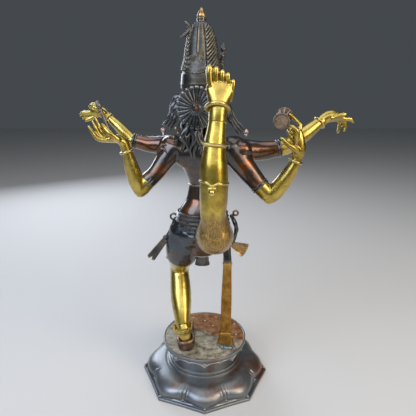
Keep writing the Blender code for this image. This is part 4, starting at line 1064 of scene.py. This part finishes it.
def crownRelief(fromBack, signed, level):
    # locks stacked down both sides, a smooth panel with a ridge down the back, a plain band below
    reach = crownReach(level)
    arc = math.radians(fromBack) * reach
    inLocks = blendStep(level, 600, 604) * (1 - blendStep(level, 684, 691))
    edge = math.radians(crown["panelRight"] if signed > 0 else crown["panelLeft"]) * reach
    beyond = arc - edge
    onSide = blendStep(beyond, 0, 2.4) * (1 - blendStep(fromBack, crown["frontFrom"] - 4,
                                                        crown["frontFrom"]))
    # each lock rises as it runs outward, and its crest is round with a deep narrow groove below it
    phase = math.pi * (level - 0.9 * beyond) / crown["lockPitch"]
    # a plain upright rim stands at each side of the crown
    rimAway = arc - math.radians(80) * reach
    onSide *= 1 - bell(rimAway, 2.6)
    rise = inLocks * onSide * crown["lockRise"] * (abs(math.sin(phase)) ** 0.5 - 0.62)
    rise += inLocks * 1.4 * bell(rimAway, 2.2)
    panel = 1 - blendStep(beyond, -2, 0)
    ridgeHeight = blendStep(level, 626, 640)
    across = arc * signed
    ridges = 2.0 * bell(across, 1.5) + 0.7 * bell(across - edge * 0.62, 1.4)
    rise += inLocks * panel * ridgeHeight * ridges
    rise -= inLocks * 1.8 * bell(beyond, 1.3)
    # fan of fine lines on the lower part of the panel
    fanned = blendStep(level, 603, 608) * (1 - blendStep(level, 626, 634))
    rise += panel * fanned * 0.5 * math.sin(across * 2.1 * (1 + (640 - level) * 0.004))
    # hanging tongue at the foot of the panel, over the plain band
    offMiddle = (across + math.radians(6) * reach) / (reach * 0.66)
    tongue = 603.5 - 7 * max(0, 1 - offMiddle ** 2)
    rise += 2.6 * blendStep(level, tongue - 0.7, tongue + 0.7) * (1 - blendStep(level, tongue + 4,
                                                                                tongue + 24))
    return rise


def crownSpot(level, turn):
    degrees = math.degrees(turn)
    fromBack = min(degrees, 360 - degrees)
    reach = crownReach(level) + crownRelief(fromBack, 1 if degrees < 180 else -1, level)
    return onFigure(onHead((reach * math.sin(turn), -reach * math.cos(turn), level)))


def buildCrown():
    bm = bmesh.new()
    low, top, high = crown["profile"][0][0], 692, 230
    skinGrid(bm, [low + (top - low) * r / high for r in range(high + 1)], roundTurns(168), crownSpot)
    makePiece("crown", bm, crownBronze)

    for name, material in (("collar", hairBronze), ("finial", goldTip)):
        bm = bmesh.new()
        turned(bm, (*statue["headAxis"], 0), crown[name], sides=40)
        makePiece("crown_" + name, bm, material)

    bm = bmesh.new()
    # beaded fillets round the front half only; the back band is plain
    for level, reach, size in ((597, 40.6, 2.0), (579, 42.6, 1.8), (571, 41.8, 2.2)):
        for k in range(33):
            turn = math.radians(-96 + 6 * k)
            spot = onHead((reach * math.sin(turn), reach * math.cos(turn), level))
            ball(bm, spot, size, detail=8)
    # plaques round the front of the crown
    for k in range(5):
        turn = math.radians(-64 + 32 * k)
        reach = 38.5
        spot = onHead((reach * math.sin(turn), reach * math.cos(turn), 604))
        out = Vector(onHead((math.sin(turn), math.cos(turn), 0))) - Vector(onHead((0, 0, 0)))
        across = Vector((out.y, -out.x, 0))
        tall = 22 if k == 2 else 15
        outline = []
        for c in range(20):
            a = 2 * math.pi * c / 20
            width = tall * 0.42 * math.sin(a)
            rise = tall * 0.5 * math.cos(a) + (tall * 0.22 * max(0, math.cos(a)) ** 4)
            outline.append(Vector(spot) + across * width + Vector((0, 0, rise)) - out * rise * 0.14)
        plate(bm, outline, 5, across=tuple(out))
        ball(bm, Vector(spot) + out * 3, (tall * 0.16, tall * 0.16, tall * 0.2), detail=10)
    makePiece("crown_front", bm, dryBronze)

    bm = bmesh.new()
    # crescent moon at the left, with its stalk
    limb(bm, [(-34.4, -5, 691.5, 1.4), (-29.5, -5, 686, 3.0), (-25, -5, 679, 4.0), (-30, -5, 673, 4.0),
              (-37, -5, 667, 3.0), (-44, -5, 664.8, 1.4)], sides=20, across=(0, 1, 0))
    limb(bm, [(-17, -3, 677, 3.6), (-27, -4, 677, 2.8)], sides=14)
    makePiece("crescent", bm, crownBronze, grain=0.7, ease=1)

    bm = bmesh.new()
    # small rising figure at the right: lotus, body, joined hands, head and cap
    ball(bm, (35.9, -2, 613), (6.0, 5.6, 4.2), detail=16)
    ball(bm, (35.9, -2, 619), (4.6, 4.0, 4.4), detail=16)
    limb(bm, [(36, -2, 614, 4.2), (36.4, -2, 622, 3.8), (37, -2, 630, 5.6), (37.4, -2, 635, 3)], sides=18)
    ball(bm, (38.3, -2, 643), (5.5, 5, 5.8), detail=18)
    limb(bm, [(38.3, -2, 645, 4.6), (39, -2, 650, 2.8), (39.6, -2, 653.4, 1.0)], sides=16)
    ball(bm, (37, 3, 630), (2.6, 3.4, 3), detail=12)
    limb(bm, [(20, -2, 626, 5), (33, -2, 628, 3.6)], sides=14)
    makePiece("crown_figure", bm, dryBronze, grain=0.7, ease=1)


wheel = {"across": 2.5, "middle": 534, "radius": 41, "petals": 24}


def buildWheel():
    bm = bmesh.new()
    # rings of the dished face, as (reach, depth); the first two are its thin rim
    steps = [(wheel["radius"] - 3.4, -51), (wheel["radius"] - 0.6, -52.4)]
    steps += [(wheel["radius"] - 0.4 - 2.0 * k, -54.4 - 0.13 * k) for k in range(18)]

    def spot(numbered, turn):
        number, (reach, depth) = numbered
        petal = abs(math.cos(turn * wheel["petals"] / 2))
        edgeIn = 2.4 * (1 - petal ** 0.5) * blendStep(reach, 30, 38)
        lift = (2.6 * petal ** 0.6 + 1.0 * bell(reach - 37, 1.6)) * blendStep(reach, 5, 18)
        across = wheel["across"] + (reach - edgeIn) * math.sin(turn)
        level = wheel["middle"] + (reach - edgeIn) * math.cos(turn)
        return onFigure(onHead((across, depth - (lift if number > 1 else 0), level)))

    skinGrid(bm, list(enumerate(steps)), roundTurns(wheel["petals"] * 12), spot)
    makePiece("head_wheel", bm, hairBronze)

    bm = bmesh.new()
    hub = onHead((wheel["across"], -55, wheel["middle"]))
    towards = Vector(onHead((0, -1, 0))) - Vector(onHead((0, 0, 0)))
    turned(bm, hub, [(7.8, 0), (8.0, 2.0), (7.0, 3.2), (6.0, 3.8), (5.8, 5.0), (4.6, 7.2), (3.0, 9.2),
                     (2.0, 10.4), (1.2, 11.4), (0.4, 11.8)], lean=tuple(towards), sides=36)
    makePiece("wheel_boss", bm, heelBronze)


buildHead()
buildHairBunches()
buildBackLocks()
buildCrown()
buildWheel()
print("head, hair, crown and wheel made")


# What the hands hold

def buildHeldThings():
    bm = bmesh.new()
    ends = [Vector((149.5, -54, 509)), Vector((161.5, -18, 517.5))]
    along = (ends[1] - ends[0]).normalized()
    length = (ends[1] - ends[0]).length
    profile = []
    for step in range(41):
        part = step / 40
        waist = abs(2 * part - 1)
        reach = 8.4 + (15.4 - 8.4) * waist ** 1.25
        if part < 0.05 or part > 0.95:
            reach -= 1.2
        profile.append((reach, length * part))
    profile = [(13.2, -1.0)] + profile + [(13.2, length + 1.0)]
    turned(bm, ends[0], profile, lean=tuple(along), sides=44)
    # lacing between the two heads
    lean = tuple(along)
    axis, side, other = axes(lean, (1, 0, 0) if abs(along.x) < 0.9 else (0, 1, 0))
    for k in range(18):
        turn = 2 * math.pi * k / 18
        skew = 2 * math.pi * (0.5 if k % 2 else -0.5) / 18
        cord = []
        for step in range(7):
            part = step / 6
            angle = turn + skew * part
            reach = 9.0 + (15.2 - 8.4) * abs(2 * part - 1) ** 1.25
            cord.append((*(ends[0] + axis * length * part + side * reach * math.cos(angle)
                           + other * reach * math.sin(angle)), 0.75))
        limb(bm, cord, sides=6, between=2)
    for end, out in ((ends[0], -1), (ends[1], 1)):
        hoop(bm, end + axis * 0.8 * out, (14.8, 14.8), wire(1.5), normal=lean, around=48)
    makePiece("drum", bm, drumBronze)

    bm = bmesh.new()
    limb(bm, [(-181, -46, 478, 3.2), (-190, -44, 504, 3.2), (-200, -42, 530, 3.2)], sides=14,
         flutes=(4, 0.08, 1))
    limb(bm, [(-198.6, -42.2, 526, 4.4), (-199.2, -42, 528.5, 4.4)], sides=14)
    limb(bm, [(-200, -42, 531, 3.6), (-202, -41.5, 537, 5.6), (-204.5, -41, 542.6, 4.4)], sides=16)
    makePiece("rod", bm, dryBronze)


buildHeldThings()
print("drum and rod made")


# Pedestal

base = {
    "discRadius": 0.0983, "discThickness": 0.0055, "rimWidth": 0.004, "rimRise": 0.001,
    "footRadius": 0.1505, "footPlate": 0.0065, "footSideDip": 0.0008, "petalInset": 0.007,
    "petalHeight": 0.0315,
    "petalTopRadius": 0.099, "petalRounding": 0.0015, "petalFall": 0.0075, "petalBulge": 0.0045,
    "neckRadius": 0.0983 * 0.81, "stepRise": 0.006, "stepDepth": 0.0045, "bandRadius": 0.0945,
    "bandHeight": 0.0075, "leafDrop": 0.0075, "stepsPerSide": 48,
    # hand-made octagon: where its corners stand, in degrees from the front
    "corners": (-137.5, -90, -42.4, 0.6, 42, 85, 131, 178),
}
baseHeight = statue["pedestalHeight"]


def baseSide(turn):
    # middle and half width of the side at this turn, and how far along: 0 at its nearer corner, 1 halfway
    degrees = math.degrees(turn)
    corners = list(base["corners"])
    corners.append(corners[0] + 360)
    while degrees < corners[0]:
        degrees += 360
    while degrees >= corners[-1]:
        degrees -= 360
    for start, end in zip(corners, corners[1:]):
        if degrees < end:
            break
    middle, half = (start + end) / 2, (end - start) / 2
    return math.radians(middle), math.radians(half), 1 - abs(degrees - middle) / half, math.radians(degrees)


def octagon(turn):
    middle, half, part, turn = baseSide(turn)
    straight = base["footRadius"] * math.cos(half) / math.cos(turn - middle)
    return straight - base["footSideDip"] * math.sin(part * math.pi / 2) ** 2


def petalReach(turn, rise):
    # rise runs from the petal's foot, 0, to its top, 1
    middle, half, part, turn = baseSide(turn)
    rounded = base["footRadius"] - base["petalInset"] - base["petalRounding"] - base["petalFall"] * part ** 2
    blend = min(1, rise / 0.4)
    foot = (octagon(turn) - base["petalInset"]) * (1 - blend) + rounded * blend
    top = base["petalTopRadius"]
    reach = top + (foot - top) * math.sqrt(max(0, 1 - rise ** 2.2))
    groove = math.sin(part * math.pi / 2) ** 3
    reach -= base["petalBulge"] * groove * math.sin(min(1, 0.35 + rise) * math.pi / 1.4)
    # between two petals stands a narrow one, edged by grooves and raised borders
    away = (1 - part) * half * reach * 1000
    upper = blendStep(rise, 0.10, 0.34) * (1 - 0.5 * blendStep(rise, 0.85, 1))
    carve = 0.8 * bell(away, 1.8) - 1.7 * bell(away - 4.2, 1.1) + 0.9 * bell(away - 6.6, 1.2)
    carve -= 1.0 * bell(away - 9.2, 1.0)
    # a small keel near the petal's tip, over the corner of the foot
    fromTip = part * half * reach * 1000
    keel = 1.5 * bell(fromTip, 2.4) * (1 - blendStep(rise, 0.02, 0.30))
    return reach + (carve * upper + keel) / 1000


def leafEdge(turn):
    # lower edge of the hanging band: a pointed leaf over each corner, two swags between leaves
    bandLow = baseHeight - base["discThickness"] - base["bandHeight"]
    middle, half, part, turn = baseSide(turn)
    leaf = max(0, 1 - part * 3)
    swag = math.sin(math.pi * min(1, (part - 1 / 3) * 1.5)) if leaf == 0 else 0
    return bandLow - base["leafDrop"] * leaf + 0.0016 * swag


def sideTurns(steps):
    # turns round the whole pedestal, evenly along each side so that every corner is met
    turns = []
    corners = list(base["corners"])
    corners.append(corners[0] + 360)
    for start, end in zip(corners, corners[1:]):
        for step in range(steps):
            turns.append(math.radians(start + (end - start) * step / steps))
    return turns


def baseSpot(turn, reach, level):
    return Vector((reach * math.sin(turn), -reach * math.cos(turn), level))


def baseRings():
    # rows of (height, reach) from the underside up; either may depend on the turn
    plate, inset = base["footPlate"], base["petalInset"]
    bandTop = baseHeight - base["discThickness"]
    neck, step, depth = base["neckRadius"], base["stepRise"], base["stepDepth"]
    petalTop = plate + base["petalHeight"]
    neckLow = petalTop + step
    disc, band, rim = base["discRadius"], base["bandRadius"], baseHeight + base["rimRise"]

    def foot(cut):
        return lambda turn: octagon(turn) - cut

    def petal(part):
        return lambda turn: petalReach(turn, part)

    def hem(rise):
        return lambda turn: leafEdge(turn) + rise

    rings = [(0, foot(0.0012)), (0.0008, foot(0.0002)), (0.0016, foot(0)), (plate - 0.0022, foot(0)),
             (plate - 0.0008, foot(0.0004)), (plate - 0.0001, foot(0.0016)), (plate, foot(0.003)),
             (plate - 0.0006, foot(0.0046)), (plate - 0.0006, foot(inset - 0.0006)),
             (plate + 0.0002, foot(inset))]
    rings += [(plate + base["petalHeight"] * k / 25, petal(k / 25)) for k in range(1, 25)]
    rings += [
        (petalTop - 0.0002, base["petalTopRadius"] - 0.0012), (petalTop, base["petalTopRadius"] - 0.004),
        (petalTop - 0.0012, neck + 2 * depth + 0.0008), (petalTop - 0.0008, neck + 2 * depth),
        (neckLow - 0.0008, neck + 2 * depth), (neckLow, neck + 2 * depth - 0.0008),
        (neckLow + 0.0002, neck + depth), (neckLow + step - 0.0008, neck + depth),
        (neckLow + step, neck + depth - 0.0008), (neckLow + step + 0.0002, neck),
        (neckLow + step + 0.006, neck + 0.0006), (hem(-0.0016), neck + 0.003),
        (hem(-0.0004), band - 0.003), (hem(0), band - 0.0006), (hem(0.0006), band),
        (bandTop - 0.0012, band - 0.0002), (bandTop - 0.0002, band - 0.0012),
        (bandTop, disc - 0.0016), (bandTop + 0.0006, disc - 0.0003), (bandTop + 0.0014, disc),
        (rim - 0.0014, disc), (rim - 0.0004, disc - 0.0004), (rim, disc - 0.0013),
        (rim, disc - base["rimWidth"] + 0.0012), (rim - 0.0004, disc - base["rimWidth"] + 0.0004),
        (baseHeight, disc - base["rimWidth"]),
    ]
    return rings


def buildPedestal():
    def spot(row, turn):
        level, reach = [value(turn) if callable(value) else value for value in row]
        return baseSpot(turn, reach, level)

    bm = bmesh.new()
    skinGrid(bm, baseRings(), sideTurns(base["stepsPerSide"]), spot)
    makePiece("lotus_base", bm, baseBronze, replaces="pedestal")


def knob(bm, place, radius):
    egg(bm, place, (radius, radius, radius), 14, 10)


def rail(bm, path, radius, sides=8):
    # a closed bead that follows a run of places round the pedestal
    rings = []
    for i, place in enumerate(path):
        along = (path[(i + 1) % len(path)] - path[i - 1]).normalized()
        out = Vector((place.x, place.y, 0)).normalized()
        up = along.cross(out).normalized()
        rings.append([
            bm.verts.new(place + out * radius * math.cos(2 * math.pi * k / sides)
                         + up * radius * math.sin(2 * math.pi * k / sides))
            for k in range(sides)
        ])
    skinRings(bm, rings, closed=True)


def buildBaseTrim():
    bm = bmesh.new()
    edge = []
    for turn in sideTurns(36):
        edge.append(baseSpot(turn, base["bandRadius"] + 0.0002, leafEdge(turn) + 0.0006))
    rail(bm, edge, 0.0013)
    corners = [math.radians(corner) for corner in base["corners"]]
    lowest = leafEdge(corners[0])
    for corner, following in zip(corners, corners[1:] + [corners[0] + 2 * math.pi]):
        middle = (corner + following) / 2
        knob(bm, baseSpot(middle, base["bandRadius"] + 0.0008, leafEdge(middle) + 0.0004), 0.0027)
        knob(bm, baseSpot(corner, base["bandRadius"] + 0.0004, lowest + 0.0006), 0.0022)
        # raised heart of each leaf
        heart = baseSpot(corner, base["bandRadius"] + 0.0002, lowest + 0.0052)
        egg(bm, heart, (0.0040, 0.0014, 0.0046), 14, 10, turn=corner)
        # knobs where petal tips and the narrow petals' borders meet the foot
        tip = octagon(corner) - base["petalInset"]
        knob(bm, baseSpot(corner, tip + 0.0018, base["footPlate"] + 0.0024), 0.0027)
        inner = octagon(middle) - base["petalInset"]
        knob(bm, baseSpot(middle, inner - 0.0016, base["footPlate"] + 0.0052), 0.0024)
        for lean in (-1, 1):
            knob(bm, baseSpot(middle + lean * 0.034, inner - 0.0012, base["footPlate"] + 0.0030), 0.0017)
    makePiece("base_trim", bm, trimBronze, replaces="pedestal")


def buildDiscTop():
    bm = bmesh.new()
    reach = base["discRadius"] - base["rimWidth"]
    top = baseHeight + 0.0004
    steps = 28
    rows = [(reach * (1 - r / steps), top) for r in range(steps)]
    rows.insert(0, (reach, top - 0.0012))
    skinGrid(bm, rows, roundTurns(120), lambda row, turn: baseSpot(turn, *row))
    makePiece("disc_top", bm, dustyDisc, replaces="pedestal", wobble=0.25, wobbleSize=18)

    bm = bmesh.new()
    # small pale domes dotted over the top of the disc
    for x, y, size in ((0.7, 57.7, 1.7), (20.9, 36.2, 1.5), (1.8, 8.9, 1.5), (74.2, 42.8, 1.5),
                       (76.5, -0.6, 1.6), (29.2, 76.7, 1.4), (-29.7, 72.9, 1.7)):
        egg(bm, (x * share, y * share, top), (size / 700, size / 700, 0.0008), 12, 8)
    makePiece("disc_studs", bm, paleDiscSpots, replaces="pedestal")


def discMaterial():
    # the same patina under settled dust and polish residue: pale green grey in front, rust brown behind
    material, tree, shader, place = startMaterial("dusty_disc_patina")
    cloud = addNode(tree, "TexNoise", {
        "Vector": place, "Scale": perMetre(34), "Detail": 4, "Roughness": 0.55, "Distortion": 0.6,
    })
    split = addNode(tree, "SeparateXYZ", {"Vector": place})
    # the dust ends along a ragged line across the disc, nearer the front at the left
    slope = addNode(tree, "Math", {0: split.outputs["X"], 1: 0.52}, operation="MULTIPLY")
    rearward = addNode(tree, "Math", {0: split.outputs["Y"], 1: slope}, operation="ADD")
    ragged = addNode(tree, "Math", {0: cloud, 1: 0.10}, operation="MULTIPLY")
    line = addNode(tree, "Math", {0: rearward, 1: ragged}, operation="ADD")
    dust = addNode(tree, "MapRange", {
        "Value": line, "From Min": 0.048, "From Max": 0.072, "To Min": 1, "To Max": 0,
    })
    fine = addNode(tree, "TexNoise", {"Vector": place, "Scale": perMetre(13), "Detail": 5,
                                      "Roughness": 0.6})
    bloom = addNode(tree, "ValToRGB", {"Fac": fine}, stops=[
        (0.30, "#5a4b36"), (0.40, "#8d8670"), (0.52, "#aca892"), (0.68, "#c6c4b2"),
    ])
    rust = addNode(tree, "ValToRGB", {"Fac": fine}, stops=[
        (0.32, "#6e4527"), (0.46, "#9c6b43"), (0.58, "#b48357"), (0.72, "#c29a72"),
    ])
    veil = addNode(tree, "Math", {0: dust, 1: 0.9}, operation="MULTIPLY")
    feed(tree, shader, {
        "Base Color": mixTones(tree, veil, rust, bloom),
        "Metallic": 0.35,
        "Roughness": addNode(tree, "MapRange", {"Value": dust, "To Min": 0.34, "To Max": 0.58}),
        "Normal": addNode(tree, "Bump", {"Height": fine, "Strength": 0.2, "Distance": 0.0006}),
    })
    return material


def dropMaterial(name, colours, metallic, roughness):
    # small lumps: mottled between two tones, and uneven
    material, tree, shader, place = startMaterial(name)
    mottle = addNode(tree, "TexNoise", {"Vector": place, "Scale": perMetre(3), "Detail": 3})
    feed(tree, shader, {
        "Base Color": addNode(tree, "ValToRGB", {"Fac": mottle}, stops=list(zip((0.35, 0.65), colours))),
        "Metallic": metallic,
        "Roughness": roughness,
        "Normal": addNode(tree, "Bump", {"Height": mottle, "Strength": 0.5, "Distance": 0.0008}),
    })
    return material


dustyDisc = discMaterial()
paleDiscSpots = dropMaterial("pale_disc_spots", ("#b3a89a", "#e6ded2"), 0.2, 0.35)
greySolder = dropMaterial("grey_braze", ("#4a5157", "#98a1a6"), 0.75, 0.42)
buildPedestal()
buildBaseTrim()
buildDiscTop()
print("pedestal made")


# Support strut

strut = {
    "width": 0.0235, "topWidth": 0.0185, "thickness": 0.009, "footWidth": 0.038, "footDepth": 0.022,
    "footHeight": 0.030, "turn": math.radians(-16), "foot": (48.5, -38), "head": (51, -33, 206),
    "gap": 0.0003,
}


def buildStrut():
    foot = Vector((strut["foot"][0] * share, strut["foot"][1] * share, baseHeight + strut["gap"]))
    head = onFigure(strut["head"])
    height = head.z - foot.z
    width, thick, turn = strut["width"], strut["thickness"], strut["turn"]
    levels = [
        (0, strut["footWidth"], strut["footDepth"], turn),
        (0.004, strut["footWidth"], strut["footDepth"], turn),
        (0.010, strut["footWidth"] * 0.93, strut["footDepth"] * 0.9, turn * 0.95),
        (0.017, width * 1.36, thick * 1.9, turn * 0.75),
        (strut["footHeight"] * 0.8, width * 1.2, thick * 1.5, turn * 0.5),
        (strut["footHeight"], width * 1.15, thick * 1.5, 0),
        (strut["footHeight"] + 0.0008, width * 1.12, thick * 1.45, 0),
        (strut["footHeight"] + 0.0022, width, thick, 0),
    ]
    top = strut["topWidth"]
    for k in range(1, 13):
        part = k / 12
        level = strut["footHeight"] + 0.0022 + (height - strut["footHeight"] - 0.0022) * part
        taper = blendStep(level, height * 0.5, height)
        levels.append((level, width + (top - width) * taper, thick * (1 - 0.15 * taper), 0))
    bm = bmesh.new()
    rings = []
    for level, w, d, spinBy in levels:
        middle = foot.lerp(head, level / height)
        corner = min(w, d) * 0.24
        spin = Matrix.Rotation(spinBy, 3, "Z")
        ring = []
        for sx, sy, start in ((1, -1, -90), (1, 1, 0), (-1, 1, 90), (-1, -1, 180)):
            for step in range(4):
                angle = math.radians(start + 30 * step)
                x = sx * (w / 2 - corner) + corner * math.cos(angle)
                y = sy * (d / 2 - corner) + corner * math.sin(angle)
                ring.append(bm.verts.new(middle + spin @ Vector((x, y, 0))))
        rings.append(ring)
    skinRings(bm, rings)
    # the foot's rear corners stand out like ears, as cast
    for side, high in ((-1, 0.030), (1, 0.020)):
        ear = foot + Matrix.Rotation(turn, 3, "Z") @ Vector((side * 0.0152, 0.001, high))
        egg(bm, ear, (0.0034, 0.0040, 0.0052), 16, 12, turn=turn)
    makePiece("strut_bar", bm, castBrass, replaces="support_strut")

    bm = bmesh.new()
    # collar where the bar meets the strap of cloth
    place = head - Vector((0, 0, 0.004))
    rings = []
    for level, grow in ((-0.0022, 0), (-0.0014, 0.0012), (0.0014, 0.0012), (0.0022, 0)):
        w, d = top + 2 * grow, thick * 0.85 + 2 * grow
        rings.append([
            bm.verts.new(place + Vector((sx * w / 2, sy * d / 2, level)))
            for sx, sy in ((1, -1), (1, 1), (-1, 1), (-1, -1))
        ])
    skinRings(bm, rings)
    makePiece("strut_collar", bm, castBrass, replaces="support_strut")


def buildBraze():
    bm = bmesh.new()
    for x, y, rx, ry, rz in ((34, -42, 6, 5, 4.2), (40.5, -50, 7, 6, 6.0), (49, -54, 8, 6, 6.6),
                             (58.5, -54, 7, 6, 6.2), (65, -47.5, 6, 6, 4.6), (36, -27, 7, 4, 1.8),
                             (56, -29, 9, 4, 1.8)):
        ball(bm, (x, y, 0.2), (rx, ry, rz), detail=14)
    cutBelow(bm, baseHeight)
    makePiece("strut_braze", bm, greySolder, replaces="support_strut", grain=0.8, ease=3,
              wobble=0.8, wobbleSize=6)


buildStrut()
buildBraze()
print("strut made")


# Studio

def makeFloor():
    bm = bmesh.new()
    bmesh.ops.create_grid(bm, x_segments=1, y_segments=1, size=6)
    mesh = bpy.data.meshes.new("floor")
    bm.to_mesh(mesh)
    bm.free()
    floor = addObject("floor", mesh)
    material = bpy.data.materials.new("pale_floor")
    material.use_nodes = True
    shader = material.node_tree.nodes["Principled BSDF"]
    shader.inputs["Base Color"].default_value = fromHex("#d8d5d0")
    shader.inputs["Roughness"].default_value = 0.7
    mesh.materials.append(material)


def makeLamp(name, place, aim, size, power, colour):
    data = bpy.data.lights.new(name, "AREA")
    data.shape = "RECTANGLE"
    data.size, data.size_y = size
    data.energy = power
    data.color = fromHex(colour)[:3]
    lamp = addObject(name, data)
    lamp.location = place
    lamp.rotation_euler = (Vector(aim) - Vector(place)).to_track_quat("-Z", "Y").to_euler()


def makeStudio():
    # a plain display curve, so that the brass keeps the colour it is given
    bpy.context.scene.view_settings.view_transform = "Standard"
    makeFloor()
    world = bpy.data.worlds.new("studio")
    bpy.context.scene.world = world
    world.use_nodes = True
    sky = world.node_tree.nodes["Background"]
    sky.inputs["Color"].default_value = fromHex("#6d747b")
    sky.inputs["Strength"].default_value = 0.38
    aim = (0, 0, 0.42)
    makeLamp("window_left", (-1.6, -1.5, 1.9), aim, (1.5, 1.5), 38, "#d6e6ff")
    makeLamp("window_right", (1.7, -1.3, 1.5), aim, (1.0, 1.5), 26, "#fff0dc")
    makeLamp("window_front", (0.1, -2.0, 2.0), (0, 0, 0.2), (2.6, 1.4), 23, "#f4f6f8")
    makeLamp("top", (0, 0.2, 2.3), aim, (1.8, 1.8), 16, "#f4f7ff")
    makeLamp("back", (-1.0, 1.7, 1.1), aim, (1.2, 1.2), 20, "#e6efff")


def makeCamera():
    data = bpy.data.cameras.new("camera")
    data.sensor_width = 36
    data.lens = 34.6
    camera = addObject("camera", data)
    camera.location = (0.0084, -0.837, 0.667)
    downward = 16.84
    camera.rotation_euler = (math.radians(90 - downward), 0, 0)
    bpy.context.scene.camera = camera


makeStudio()
makeCamera()
print("studio ready,", pieceCount, "pieces")
